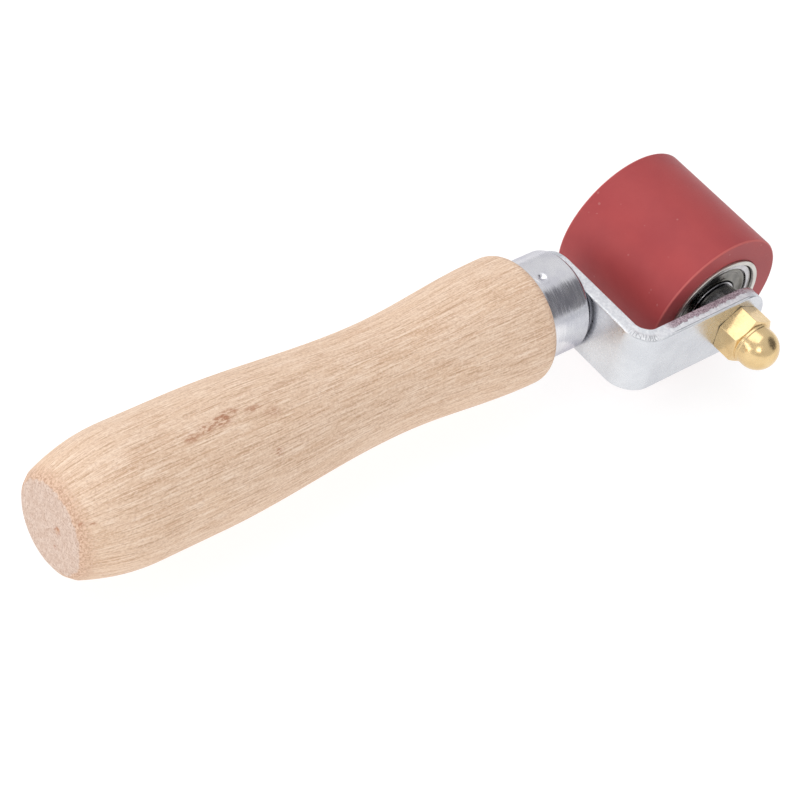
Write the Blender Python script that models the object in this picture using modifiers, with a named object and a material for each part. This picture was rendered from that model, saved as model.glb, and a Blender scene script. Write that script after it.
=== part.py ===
"""Seam roller: a silicone pressing roller on two ball bearings, held by an angled strip bracket on a turned
wooden handle.

Axes: +X runs along the handle towards the roller, +Z is up across the width of the bracket's strip, and the
roller turns about Y, with the bracket's arm and the cap nut on the -Y side.
Lengths are written in millimetres times MM. Every piece is placed from the head datum: the point where the
handle's axis meets the outer face of the bracket's base.
"""

import math

import bmesh
import bpy
from mathutils import Vector

MM = 0.001

# ---------------------------------------------------------------- clearances
FIT_GAP = 0.3 * MM            # between faces that rest on each other, and around a pin in its hole
SEAT_GAP = 0.2 * MM           # around a bearing ring on its seat, and around a shield
BALL_GAP = 0.15 * MM          # between a ball and its raceways
POCKET_GAP = 0.15 * MM        # around a ball in its cage pocket
BEARING_RECESS = 0.7 * MM     # bearing face below the hub's end

# ---------------------------------------------------------------- roller
ROLLER_DIAMETER = 35.0 * MM
ROLLER_WIDTH = 30.0 * MM
ROLLER_EDGE_RADIUS = 0.5 * MM
HUB_WALL = 1.0 * MM
HUB_SHOULDER = 1.4 * MM       # height of the step that a bearing butts against
HUB_PROUD = 0.5 * MM          # hub end beyond the silicone's end face

# ---------------------------------------------------------------- bearing
BEARING_BORE = 8.0 * MM
BEARING_DIAMETER = 22.0 * MM
BEARING_WIDTH = 7.0 * MM
BALL_DIAMETER = 3.969 * MM
BALL_COUNT = 7
RACE_SHOULDER = 1.45 * MM     # balls' pitch circle to a ring's shoulder, inwards and outwards
SHIELD_SEAT_STEP = 0.75 * MM  # outer ring's shoulder up to the shield's seat
SHIELD_SEAT_DEPTH = 0.8 * MM
SHIELD_THICKNESS = 0.35 * MM
SHIELD_RECESS = 0.25 * MM
CAGE_WALL = 1.5 * MM
CAGE_WEB = 0.3 * MM           # cage beside each pocket
RING_CHAMFER = 0.3 * MM

# ---------------------------------------------------------------- axle, spacers and nut
THREAD_DIAMETER = 6.0 * MM
AXLE_HEAD_DIAMETER = 12.0 * MM
AXLE_HEAD_HEIGHT = 3.0 * MM
AXLE_HEAD_EDGE = 0.8 * MM
AXLE_END_CHAMFER = 0.6 * MM
SOCKET_ACROSS_FLATS = 4.0 * MM
SOCKET_DEPTH = 1.8 * MM
WASHER_THICKNESS = 1.0 * MM
SPACER_STEP = 0.35 * MM       # inner ring's shoulder down to the outside of a spacer, tube or washer
NUT_ACROSS_FLATS = 10.5 * MM
NUT_HEIGHT = 11.6 * MM
NUT_HEX_HEIGHT = 5.0 * MM
NUT_DOME_DIAMETER = 9.3 * MM
NUT_THREAD_DEPTH = 8.5 * MM
NUT_CORNER_ANGLE = math.radians(5.0)   # how far the hexagon is turned about the axle

# ---------------------------------------------------------------- bracket
STRIP_WIDTH = 15.2 * MM
STRIP_THICKNESS = 3.2 * MM
BEND_RADIUS = 3.0 * MM        # inner radius of the bend
ARM_OFFSET = 24.5 * MM        # handle axis to the arm's outer face
AXLE_REACH = 29.5 * MM        # base's outer face to the axle
BASE_OVERHANG = 2.6 * MM      # centre of the base's round end beyond the tang
ARM_OVERHANG = 0.8 * MM       # centre of the arm's round end beyond the axle
ARM_CLEARANCE = 3.6 * MM      # arm's inner face to the silicone's near end face

# ---------------------------------------------------------------- handle, ferrule and tang
HANDLE_LENGTH = 114.2 * MM    # wood from the butt to the front shoulder
BUTT_CORNER_RADIUS = 2.6 * MM
BUTT_TAPER_LENGTH = 15.8 * MM
BUTT_TAPER_DROP = 3.0 * MM
SWELL_DIAMETER = 28.0 * MM
SWELL_FROM_BUTT = 31.5 * MM
WAIST_DIAMETER = 23.5 * MM
WAIST_FROM_BUTT = 76.0 * MM
FRONT_SHOULDER_RADIUS = 2.6 * MM
FERRULE_DIAMETER = 21.8 * MM
FERRULE_LENGTH = 10.9 * MM
FERRULE_STAND_OFF = 0.6 * MM   # ferrule's front face to the base
FERRULE_WALL = 1.0 * MM
FERRULE_EDGE_RADIUS = 1.4 * MM
FRONT_STEP = 3.05 * MM        # ferrule's side up to the wood's front swell
TANG_DIAMETER = 6.0 * MM
TANG_DEPTH = 38.0 * MM        # tang inside the wood, from the spigot's end
RIVET_HEAD_DIAMETER = 11.0 * MM
RIVET_HEAD_HEIGHT = 2.8 * MM

# ---------------------------------------------------------------- facets
ROLLER_STEPS = 64
HANDLE_STEPS = 32
BEARING_STEPS = 28
SMALL_STEPS = 20

# ---------------------------------------------------------------- derived places
STRIP_HALF = STRIP_WIDTH / 2
HUB_RADIUS = BEARING_DIAMETER / 2 + SEAT_GAP + HUB_WALL
AXLE_RADIUS = BEARING_BORE / 2 - SEAT_GAP
PITCH_RADIUS = (BEARING_BORE + BEARING_DIAMETER) / 4
INNER_RING_RADIUS = PITCH_RADIUS - RACE_SHOULDER
SPACER_RADIUS = INNER_RING_RADIUS - SPACER_STEP
CAGE_WIDTH = BALL_DIAMETER + 2 * (POCKET_GAP + CAGE_WEB)
FRONT_DIAMETER = FERRULE_DIAMETER + 2 * FRONT_STEP
ARM_INNER_Y = -ARM_OFFSET + STRIP_THICKNESS
HUB_NEAR_Y = ARM_INNER_Y + ARM_CLEARANCE - HUB_PROUD
HUB_LENGTH = ROLLER_WIDTH + 2 * HUB_PROUD
HUB_FAR_Y = HUB_NEAR_Y + HUB_LENGTH
ROLLER_MID_Y = (HUB_NEAR_Y + HUB_FAR_Y) / 2
BEARING_OFFSET = HUB_LENGTH / 2 - BEARING_RECESS - BEARING_WIDTH / 2   # roller's middle to a bearing's middle
NEAR_RING_FACE_Y = HUB_NEAR_Y + BEARING_RECESS
FAR_RING_FACE_Y = HUB_FAR_Y - BEARING_RECESS
HEAD_SEAT_Y = FAR_RING_FACE_Y + FIT_GAP + WASHER_THICKNESS + FIT_GAP
WOOD_FRONT_X = -FERRULE_STAND_OFF - FERRULE_LENGTH - FIT_GAP
BUTT_X = WOOD_FRONT_X - HANDLE_LENGTH
SPIGOT_RADIUS = FERRULE_DIAMETER / 2 - FERRULE_WALL - FIT_GAP
SPIGOT_END_X = -FERRULE_STAND_OFF - FERRULE_WALL - FIT_GAP
TANG_TIP_X = SPIGOT_END_X - TANG_DEPTH
HOLE_RADIUS = THREAD_DIAMETER / 2 + FIT_GAP
TANG_HOLE_RADIUS = TANG_DIAMETER / 2 + FIT_GAP

# ---------------------------------------------------------------- overall box, for the origin at its bottom centre
BOX_X = (BUTT_X, AXLE_REACH + max(ROLLER_DIAMETER / 2, ARM_OVERHANG + STRIP_HALF))
BOX_Y = (-ARM_OFFSET - FIT_GAP - NUT_HEIGHT,
         max(HEAD_SEAT_Y + AXLE_HEAD_HEIGHT, SWELL_DIAMETER / 2, FRONT_DIAMETER / 2))
BOX_BOTTOM = -max(ROLLER_DIAMETER / 2, SWELL_DIAMETER / 2, FRONT_DIAMETER / 2, STRIP_HALF)

ALONG_X = (0.0, math.radians(90.0), 0.0)     # turns a piece's own Z onto +X
ALONG_Y = (math.radians(-90.0), 0.0, 0.0)    # turns a piece's own Z onto +Y


def clear_scene():
    for old in list(bpy.data.objects):
        bpy.data.objects.remove(old, do_unlink=True)


def make_collection(name):
    collection = bpy.data.collections.new(name)
    bpy.context.scene.collection.children.link(collection)
    return collection


def make_material(name, colour, roughness, metallic=0.0):
    material = bpy.data.materials.new(name)
    material.use_nodes = True
    shader = material.node_tree.nodes["Principled BSDF"]
    shader.inputs["Base Color"].default_value = (*colour, 1.0)
    shader.inputs["Roughness"].default_value = roughness
    shader.inputs["Metallic"].default_value = metallic
    return material


clear_scene()
PARTS = make_collection("seam_roller")
CUTTERS = make_collection("cutters")

WOOD = make_material("light_hardwood", (0.66, 0.47, 0.31), 0.6)
FERRULE_STEEL = make_material("bright_zinc", (0.72, 0.73, 0.76), 0.25, 1.0)
STRIP_STEEL = make_material("satin_zinc", (0.68, 0.70, 0.72), 0.45, 1.0)
RIVET_STEEL = make_material("rivet_zinc", (0.60, 0.61, 0.63), 0.4, 1.0)
AXLE_STEEL = make_material("axle_zinc", (0.66, 0.66, 0.68), 0.3, 1.0)
SPACER_STEEL = make_material("spacer_steel", (0.55, 0.55, 0.57), 0.35, 1.0)
BRASS = make_material("polished_brass", (0.78, 0.58, 0.27), 0.15, 1.0)
RING_STEEL = make_material("bearing_steel", (0.62, 0.61, 0.60), 0.2, 1.0)
SHIELD_STEEL = make_material("shield_steel", (0.70, 0.68, 0.64), 0.18, 1.0)
CAGE_STEEL = make_material("cage_steel", (0.50, 0.46, 0.38), 0.4, 1.0)
BALL_STEEL = make_material("ball_steel", (0.75, 0.75, 0.76), 0.08, 1.0)
HUB_METAL = make_material("hub_aluminium", (0.66, 0.64, 0.60), 0.4, 1.0)
SILICONE = make_material("red_silicone", (0.46, 0.08, 0.08), 0.55)

DATUM = bpy.data.objects.new("head_datum", None)
DATUM.location = (-sum(BOX_X) / 2, -sum(BOX_Y) / 2, -BOX_BOTTOM)
PARTS.objects.link(DATUM)


def add_object(name, mesh, material, location=(0, 0, 0), rotation=(0, 0, 0)):
    """Put a mesh in the parts collection, on the datum, at its own place and turn."""
    piece = bpy.data.objects.new(name, mesh)
    piece.location = location
    piece.rotation_euler = rotation
    piece.parent = DATUM
    if material.name not in mesh.materials:
        mesh.materials.append(material)
    PARTS.objects.link(piece)
    return piece


def as_cutter(piece):
    """Move an object to the cutters, where it shows as wire and isn't part of the model."""
    PARTS.objects.unlink(piece)
    CUTTERS.objects.link(piece)
    piece.hide_render = True
    piece.display_type = "WIRE"
    return piece


def boolean(piece, operation, cutter):
    modifier = piece.modifiers.new(cutter.name, "BOOLEAN")
    modifier.operation = operation
    modifier.solver = "EXACT"
    modifier.object = cutter


def finish_mesh(shape, name, sharp_angle=math.radians(35.0)):
    mesh = bpy.data.meshes.new(name)
    shape.to_mesh(mesh)
    shape.free()
    mesh.shade_smooth()
    mesh.set_sharp_from_angle(angle=sharp_angle)
    return mesh


def turned(name, profile, steps, material, location, rotation, is_ring=False):
    """Turn a profile of (radius, height) points about the piece's own Z.

    A solid's profile runs from its top centre, down its outer side, to its bottom centre. A ring's profile is
    closed, and runs down its outer side and up its bore.
    """
    shape = bmesh.new()
    points = [shape.verts.new((radius, 0.0, height)) for radius, height in profile]
    for start, end in zip(points, points[1:]):
        shape.edges.new((start, end))
    if is_ring:
        shape.edges.new((points[-1], points[0]))
    mesh = finish_mesh(shape, name)
    piece = add_object(name, mesh, material, location, rotation)
    screw = piece.modifiers.new("turn", "SCREW")
    screw.axis = "Z"
    screw.angle = math.tau
    screw.steps = steps
    screw.render_steps = steps
    screw.use_merge_vertices = True
    screw.merge_threshold = 0.00001
    screw.use_smooth_shade = True
    return piece


def arc(centre, radius, start, end, steps):
    """Points on an arc in the (radius, height) plane, with angles in degrees from the outward direction."""
    turns = [math.radians(start + (end - start) * step / steps) for step in range(steps + 1)]
    return [(centre[0] + radius * math.cos(turn), centre[1] + radius * math.sin(turn)) for turn in turns]


def tube_profile(outer, inner, bottom, top):
    return [(outer, top), (outer, bottom), (inner, bottom), (inner, top)]


def rod_profile(radius, bottom, top):
    return [(0.0, top), (radius, top), (radius, bottom), (0.0, bottom)]


def hexagon(name, across_flats, bottom, top, location, rotation, turn=0.0):
    """A hexagonal prism from a six-sided cone primitive, with its height along its own Z."""
    shape = bmesh.new()
    corner = across_flats / 2 / math.cos(math.pi / 6)
    bmesh.ops.create_cone(shape, cap_ends=True, segments=6, radius1=corner, radius2=corner, depth=top - bottom)
    bmesh.ops.translate(shape, verts=shape.verts, vec=(0.0, 0.0, (top + bottom) / 2))
    mesh = finish_mesh(shape, name)
    piece = add_object(name, mesh, BRASS, location, rotation)
    piece.rotation_euler.rotate_axis("Z", turn)
    return piece


# ---------------------------------------------------------------- handle
def handle_radius(from_butt):
    """The wood's radius between the butt's taper and the front shoulder: swell, waist, swell."""
    stations = [(SWELL_FROM_BUTT, SWELL_DIAMETER / 2), (WAIST_FROM_BUTT, WAIST_DIAMETER / 2),
                (HANDLE_LENGTH - FRONT_SHOULDER_RADIUS, FRONT_DIAMETER / 2)]
    if from_butt <= stations[0][0]:
        return stations[0][1]
    for (start, start_radius), (end, end_radius) in zip(stations, stations[1:]):
        if from_butt <= end:
            share = (from_butt - start) / (end - start)
            ease = (1 - math.cos(math.pi * share)) / 2
            return start_radius + (end_radius - start_radius) * ease
    return stations[-1][1]


def make_handle():
    """Profile heights are along +X: top is the spigot's front end, bottom is the butt."""
    shoulder = FRONT_SHOULDER_RADIUS
    front_radius = FRONT_DIAMETER / 2
    taper_start = SWELL_DIAMETER / 2
    taper_end_x = BUTT_X + BUTT_CORNER_RADIUS * 0.65
    taper_steps = 4
    taper = []
    for step in range(1, taper_steps + 1):
        share = step / taper_steps
        taper.append((taper_start - BUTT_TAPER_DROP * share ** 2, taper_end_x + BUTT_TAPER_LENGTH * (1 - share)))
    corner_start = taper[-1]
    corner_slope = math.degrees(math.atan2(2 * BUTT_TAPER_DROP, BUTT_TAPER_LENGTH))
    corner_centre = (corner_start[0] - BUTT_CORNER_RADIUS * math.cos(math.radians(corner_slope)),
                     BUTT_X + BUTT_CORNER_RADIUS)
    corner = arc(corner_centre, BUTT_CORNER_RADIUS, -corner_slope, -90.0, 4)
    body_start = HANDLE_LENGTH - shoulder
    body_end = taper_end_x + BUTT_TAPER_LENGTH - BUTT_X
    body_steps = 15
    body = []
    for step in range(1, body_steps + 1):
        from_butt = body_start + (body_end - body_start) * step / body_steps
        body.append((handle_radius(from_butt), BUTT_X + from_butt))
    profile = [(0.0, TANG_TIP_X - FIT_GAP), (TANG_HOLE_RADIUS, TANG_TIP_X - FIT_GAP)]
    profile += [(TANG_HOLE_RADIUS, SPIGOT_END_X), (SPIGOT_RADIUS, SPIGOT_END_X), (SPIGOT_RADIUS, WOOD_FRONT_X)]
    profile += arc((front_radius - shoulder, WOOD_FRONT_X - shoulder), shoulder, 90.0, 0.0, 5)
    profile += body + taper[:-1] + corner + [(0.0, BUTT_X)]
    turned("wood_handle", profile, HANDLE_STEPS, WOOD, (0, 0, 0), ALONG_X)


def make_ferrule():
    """A drawn cup: its closed end stands just off the bracket, its mouth against the wood's shoulder."""
    outer = FERRULE_DIAMETER / 2
    front = -FERRULE_STAND_OFF
    back = front - FERRULE_LENGTH
    edge = FERRULE_EDGE_RADIUS
    profile = [(TANG_HOLE_RADIUS, front)]
    profile += arc((outer - edge, front - edge), edge, 90.0, 0.0, 4)
    profile += [(outer, back), (outer - FERRULE_WALL, back), (outer - FERRULE_WALL, front - FERRULE_WALL - 0.4 * edge)]
    profile += [(outer - FERRULE_WALL - 0.4 * edge, front - FERRULE_WALL), (TANG_HOLE_RADIUS, front - FERRULE_WALL)]
    turned("ferrule", profile, HANDLE_STEPS, FERRULE_STEEL, (0, 0, 0), ALONG_X, is_ring=True)


def make_tang_rivet():
    """A rod in the wood, with a domed head on the roller side of the bracket's base."""
    seat = STRIP_THICKNESS + FIT_GAP
    radius = RIVET_HEAD_DIAMETER / 2
    tip = TANG_DIAMETER / 4
    dome = []
    dome_steps = 5
    for step in range(dome_steps + 1):
        angle = math.pi / 2 * (1 - step / dome_steps)
        dome.append((radius * math.cos(angle), seat + RIVET_HEAD_HEIGHT * math.sin(angle)))
    dome[0] = (0.0, seat + RIVET_HEAD_HEIGHT)
    profile = dome + [(TANG_DIAMETER / 2, seat), (TANG_DIAMETER / 2, TANG_TIP_X + tip)]
    profile += [(TANG_DIAMETER / 2 - tip, TANG_TIP_X), (0.0, TANG_TIP_X)]
    turned("tang_rivet", profile, SMALL_STEPS, RIVET_STEEL, (0, 0, 0), ALONG_X)


# ---------------------------------------------------------------- bracket
def flat_round_end(along, side, steps=8):
    """Half circle at one end of the strip's blank, as (along, across) points: side is 1 for its far end, -1 for 0."""
    points = []
    for step in range(steps + 1):
        angle = math.pi * step / steps - math.pi / 2
        points.append((along + side * STRIP_HALF * math.cos(angle), side * STRIP_HALF * math.sin(angle)))
    return points


def make_bracket():
    """A flat blank with round ends, bent in its middle and then given its thickness.

    The blank lies along the strip's middle surface. Distance along it is 0 at the tang hole, on the handle's
    axis, and grows round the bend towards the axle.
    """
    middle_radius = BEND_RADIUS + STRIP_THICKNESS / 2
    base_middle_x = STRIP_THICKNESS / 2
    arm_middle_y = -ARM_OFFSET + STRIP_THICKNESS / 2
    bend_centre = Vector((base_middle_x + middle_radius, arm_middle_y + middle_radius, 0.0))
    base_run = -bend_centre.y
    bend_run = middle_radius * math.pi / 2
    arm_run = AXLE_REACH - bend_centre.x
    blank_end = base_run + bend_run + arm_run

    shape = bmesh.new()
    outline = flat_round_end(blank_end + ARM_OVERHANG, 1) + flat_round_end(-BASE_OVERHANG, -1)
    rim = [shape.verts.new((along, across, 0.0)) for along, across in outline]
    for start, end in zip(rim, rim[1:] + rim[:1]):
        shape.edges.new((start, end))
    for along, radius in ((0.0, TANG_HOLE_RADIUS), (blank_end, HOLE_RADIUS)):
        hole = []
        for step in range(SMALL_STEPS):
            angle = math.tau * step / SMALL_STEPS
            hole.append(shape.verts.new((along + radius * math.cos(angle), radius * math.sin(angle), 0.0)))
        for start, end in zip(hole, hole[1:] + hole[:1]):
            shape.edges.new((start, end))
    bmesh.ops.triangle_fill(shape, edges=shape.edges[:], use_beauty=True)
    bend_steps = 8
    for step in range(bend_steps + 1):
        along = base_run + bend_run * step / bend_steps
        everything = shape.verts[:] + shape.edges[:] + shape.faces[:]
        bmesh.ops.bisect_plane(shape, geom=everything, plane_co=(along, 0, 0), plane_no=(1, 0, 0), dist=1e-7)
    flat_edges = []
    for edge in shape.edges:
        on_bend_line = abs(edge.verts[0].co.x - edge.verts[1].co.x) < 1e-7
        inside_bend = all(base_run - 1e-6 < vert.co.x < base_run + bend_run + 1e-6 for vert in edge.verts)
        if inside_bend and not on_bend_line and not edge.is_boundary:
            flat_edges.append(edge)
    bmesh.ops.dissolve_edges(shape, edges=flat_edges, use_verts=False)

    for vert in shape.verts:
        along, across = vert.co.x, vert.co.y
        if along <= base_run:
            place = Vector((base_middle_x, -along, across))
        elif along < base_run + bend_run:
            turn = (along - base_run) / middle_radius
            place = bend_centre + Vector((-math.cos(turn), -math.sin(turn), 0.0)) * middle_radius
            place.z = across
        else:
            place = Vector((bend_centre.x + along - base_run - bend_run, arm_middle_y, across))
        vert.co = place
    bmesh.ops.recalc_face_normals(shape, faces=shape.faces[:])
    bracket = add_object("bracket", finish_mesh(shape, "bracket"), STRIP_STEEL)
    wall = bracket.modifiers.new("thickness", "SOLIDIFY")
    wall.thickness = STRIP_THICKNESS
    wall.offset = 0.0
    wall.use_even_offset = True


# ---------------------------------------------------------------- axle group
AXLE_AT = (AXLE_REACH, 0.0, 0.0)


def make_axle():
    """Heights run along +Y: the head is the top, the threaded end is the bottom."""
    shank_end = NEAR_RING_FACE_Y + FIT_GAP
    thread_end = -ARM_OFFSET - FIT_GAP - NUT_THREAD_DEPTH + 2 * FIT_GAP
    thread = THREAD_DIAMETER / 2
    head = AXLE_HEAD_DIAMETER / 2
    head_top = HEAD_SEAT_Y + AXLE_HEAD_HEIGHT
    profile = [(0.0, head_top)] + arc((head - AXLE_HEAD_EDGE, head_top - AXLE_HEAD_EDGE), AXLE_HEAD_EDGE, 90, 0, 3)
    profile += [(head, HEAD_SEAT_Y), (AXLE_RADIUS, HEAD_SEAT_Y), (AXLE_RADIUS, shank_end), (thread, shank_end)]
    profile += [(thread, thread_end + AXLE_END_CHAMFER), (thread - AXLE_END_CHAMFER, thread_end), (0.0, thread_end)]
    axle = turned("axle", profile, SMALL_STEPS, AXLE_STEEL, AXLE_AT, ALONG_Y)
    socket = hexagon("axle_socket_cut", SOCKET_ACROSS_FLATS, head_top - SOCKET_DEPTH, head_top + FIT_GAP,
                     AXLE_AT, ALONG_Y)
    boolean(axle, "DIFFERENCE", as_cutter(socket))


def make_spacers():
    inner = AXLE_RADIUS + FIT_GAP
    outer = SPACER_RADIUS
    far_seat = FAR_RING_FACE_Y + FIT_GAP
    near = tube_profile(outer, HOLE_RADIUS, ARM_INNER_Y + FIT_GAP, NEAR_RING_FACE_Y - FIT_GAP)
    middle = tube_profile(outer, inner, NEAR_RING_FACE_Y + BEARING_WIDTH + FIT_GAP,
                          FAR_RING_FACE_Y - BEARING_WIDTH - FIT_GAP)
    far = tube_profile(outer, inner, far_seat, far_seat + WASHER_THICKNESS)
    for name, profile in (("near_spacer", near), ("distance_tube", middle), ("far_washer", far)):
        turned(name, profile, SMALL_STEPS, SPACER_STEEL, AXLE_AT, ALONG_Y, is_ring=True)


def make_cap_nut():
    """A domed hexagon nut. Heights run along +Y, so the dome is at the bottom."""
    seat = -ARM_OFFSET - FIT_GAP
    corner = NUT_ACROSS_FLATS / 2 / math.cos(math.pi / 6)
    flat = NUT_ACROSS_FLATS / 2
    chamfer = (corner - flat) * 0.6
    hex_end = seat - NUT_HEX_HEIGHT
    nut = hexagon("cap_nut", NUT_ACROSS_FLATS, hex_end, seat, AXLE_AT, ALONG_Y, NUT_CORNER_ANGLE)
    rounded = [(0.0, seat + FIT_GAP), (flat - FIT_GAP, seat + FIT_GAP), (corner, seat - chamfer)]
    rounded += [(corner, hex_end + chamfer), (flat - FIT_GAP, hex_end - FIT_GAP), (0.0, hex_end - FIT_GAP)]
    envelope = turned("nut_chamfer_cut", rounded, SMALL_STEPS, BRASS, AXLE_AT, ALONG_Y)
    boolean(nut, "INTERSECT", as_cutter(envelope))

    dome = NUT_DOME_DIAMETER / 2
    dome_centre = seat - NUT_HEIGHT + dome
    profile = [(0.0, hex_end + FIT_GAP), (dome, hex_end + FIT_GAP), (dome, dome_centre)]
    profile += arc((0.0, dome_centre), dome, -18.0, -72.0, 3) + [(0.0, dome_centre - dome)]
    boolean(nut, "UNION", as_cutter(turned("nut_dome", profile, SMALL_STEPS, BRASS, AXLE_AT, ALONG_Y)))

    thread = rod_profile(HOLE_RADIUS, seat - NUT_THREAD_DEPTH, seat + FIT_GAP)
    boolean(nut, "DIFFERENCE", as_cutter(turned("nut_thread_cut", thread, SMALL_STEPS, BRASS, AXLE_AT, ALONG_Y)))


# ---------------------------------------------------------------- bearings
def make_bearing(side, middle_y):
    """One shielded ball bearing, its middle at middle_y on the axle's axis."""
    place = (AXLE_REACH, middle_y, 0.0)
    half = BEARING_WIDTH / 2
    bore = BEARING_BORE / 2
    outer = BEARING_DIAMETER / 2
    pitch = PITCH_RADIUS
    groove = BALL_DIAMETER / 2 + BALL_GAP
    bevel = RING_CHAMFER
    steps = 4

    shoulder = INNER_RING_RADIUS
    reach = math.degrees(math.acos((pitch - shoulder) / groove))
    profile = [(shoulder, half)] + arc((pitch, 0.0), groove, 180.0 - reach, 180.0 + reach, steps)
    profile += [(shoulder, -half), (bore + bevel, -half), (bore, -half + bevel), (bore, half - bevel)]
    profile += [(bore + bevel, half)]
    turned(f"{side}_inner_ring", profile, BEARING_STEPS, RING_STEEL, place, ALONG_Y, is_ring=True)

    shoulder = pitch + RACE_SHOULDER
    seat = shoulder + SHIELD_SEAT_STEP
    step = half - SHIELD_SEAT_DEPTH
    reach = math.degrees(math.acos((shoulder - pitch) / groove))
    profile = [(outer - bevel, half), (outer, half - bevel), (outer, -half + bevel), (outer - bevel, -half)]
    profile += [(seat, -half), (seat, -step), (shoulder, -step)]
    profile += arc((pitch, 0.0), groove, -reach, reach, steps)
    profile += [(shoulder, step), (seat, step), (seat, half)]
    turned(f"{side}_outer_ring", profile, BEARING_STEPS, RING_STEEL, place, ALONG_Y, is_ring=True)

    rim = seat - SEAT_GAP
    lip = INNER_RING_RADIUS + FIT_GAP
    top = half - SHIELD_RECESS
    bottom = top - SHIELD_THICKNESS
    for end, facing in (("left", -1.0), ("right", 1.0)):
        profile = [(rim, top), (rim, bottom), (lip, bottom), (lip, top)]
        if facing < 0:
            profile = [(radius, -height) for radius, height in reversed(profile)]
        turned(f"{side}_{end}_shield", profile, BEARING_STEPS, SHIELD_STEEL, place, ALONG_Y, is_ring=True)

    cage = turned(f"{side}_cage", tube_profile(pitch + CAGE_WALL / 2, pitch - CAGE_WALL / 2, -CAGE_WIDTH / 2,
                                               CAGE_WIDTH / 2),
                  4 * BALL_COUNT, CAGE_STEEL, place, ALONG_Y, is_ring=True)
    pocket_radius = BALL_DIAMETER / 2 + POCKET_GAP
    for number in range(BALL_COUNT):
        angle = math.tau * number / BALL_COUNT
        centre = (AXLE_REACH + pitch * math.cos(angle), middle_y, pitch * math.sin(angle))
        ball_mesh = bmesh.new()
        bmesh.ops.create_uvsphere(ball_mesh, u_segments=10, v_segments=7, radius=BALL_DIAMETER / 2)
        ball = add_object(f"{side}_ball_{number + 1}", finish_mesh(ball_mesh, "ball", math.radians(80)), BALL_STEEL,
                          centre, ALONG_Y)
        ball.rotation_euler.rotate_axis("Z", angle)
        drill_mesh = bmesh.new()
        bmesh.ops.create_cone(drill_mesh, cap_ends=True, segments=12, radius1=pocket_radius, radius2=pocket_radius,
                              depth=2 * CAGE_WALL)
        drill = add_object(f"{side}_pocket_cut_{number + 1}", finish_mesh(drill_mesh, "pocket"), CAGE_STEEL, centre)
        drill.rotation_euler = (0.0, math.radians(90.0) - angle, 0.0)
        boolean(cage, "DIFFERENCE", as_cutter(drill))


# ---------------------------------------------------------------- roller
def make_hub():
    """A tube with a bearing pocket at each end, its origin at the roller's middle."""
    half = HUB_LENGTH / 2
    pocket = BEARING_DIAMETER / 2 + SEAT_GAP
    waist = pocket - HUB_SHOULDER
    step = half - BEARING_RECESS - BEARING_WIDTH - FIT_GAP
    profile = [(HUB_RADIUS, half), (HUB_RADIUS, -half), (pocket, -half), (pocket, -step), (waist, -step)]
    profile += [(waist, step), (pocket, step), (pocket, half)]
    turned("hub", profile, BEARING_STEPS, HUB_METAL, (AXLE_REACH, ROLLER_MID_Y, 0.0), ALONG_Y, is_ring=True)


def make_sleeve():
    half = ROLLER_WIDTH / 2
    radius = ROLLER_DIAMETER / 2
    edge = ROLLER_EDGE_RADIUS
    bore = HUB_RADIUS + SEAT_GAP
    profile = arc((radius - edge, half - edge), edge, 90.0, 0.0, 2)
    profile += arc((radius - edge, -half + edge), edge, 0.0, -90.0, 2)
    profile += [(bore, -half), (bore, half)]
    turned("silicone_sleeve", profile, ROLLER_STEPS, SILICONE, (AXLE_REACH, ROLLER_MID_Y, 0.0), ALONG_Y, is_ring=True)


make_handle()
make_ferrule()
make_tang_rivet()
make_bracket()
make_axle()
make_spacers()
make_cap_nut()
make_bearing("near", ROLLER_MID_Y - BEARING_OFFSET)
make_bearing("far", ROLLER_MID_Y + BEARING_OFFSET)
make_hub()
make_sleeve()
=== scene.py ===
# %% [markdown]
# # A seam roller, dressed for a close look
# The working model is already packed: every solid of the tool stands in one fixed frame, in metres, and the
# moving parts hang on its bodies. This notebook puts the finished surfaces on that frame. Each step says what
# the piece is on the real tool, how it could be made, and why this way was chosen.

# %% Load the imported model
import math

import bmesh
import bpy
from mathutils import Matrix, Vector


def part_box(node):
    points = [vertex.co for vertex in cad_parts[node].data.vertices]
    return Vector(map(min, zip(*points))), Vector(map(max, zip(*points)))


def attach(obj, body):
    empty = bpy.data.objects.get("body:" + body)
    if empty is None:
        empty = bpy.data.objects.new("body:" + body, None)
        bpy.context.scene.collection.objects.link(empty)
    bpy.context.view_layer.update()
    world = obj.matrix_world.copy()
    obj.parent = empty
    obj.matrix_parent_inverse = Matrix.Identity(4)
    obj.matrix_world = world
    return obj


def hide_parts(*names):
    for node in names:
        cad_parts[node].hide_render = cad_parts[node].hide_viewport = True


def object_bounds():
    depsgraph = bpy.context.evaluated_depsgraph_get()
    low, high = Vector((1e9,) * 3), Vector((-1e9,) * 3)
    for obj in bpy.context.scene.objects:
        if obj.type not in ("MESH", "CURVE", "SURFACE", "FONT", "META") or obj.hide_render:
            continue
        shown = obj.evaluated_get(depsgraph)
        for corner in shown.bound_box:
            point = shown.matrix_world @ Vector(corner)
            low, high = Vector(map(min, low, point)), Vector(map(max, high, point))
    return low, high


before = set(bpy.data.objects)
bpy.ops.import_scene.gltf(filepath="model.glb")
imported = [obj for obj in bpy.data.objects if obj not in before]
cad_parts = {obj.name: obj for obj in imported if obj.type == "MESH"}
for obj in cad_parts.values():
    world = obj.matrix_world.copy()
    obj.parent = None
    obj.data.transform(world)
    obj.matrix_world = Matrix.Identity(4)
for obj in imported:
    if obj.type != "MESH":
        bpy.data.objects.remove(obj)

MM = 0.001
GAP = 0.3 * MM  # clearance that the working model leaves between neighbours
cad_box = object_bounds()
print("nodes in the frame:", len(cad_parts))

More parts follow.
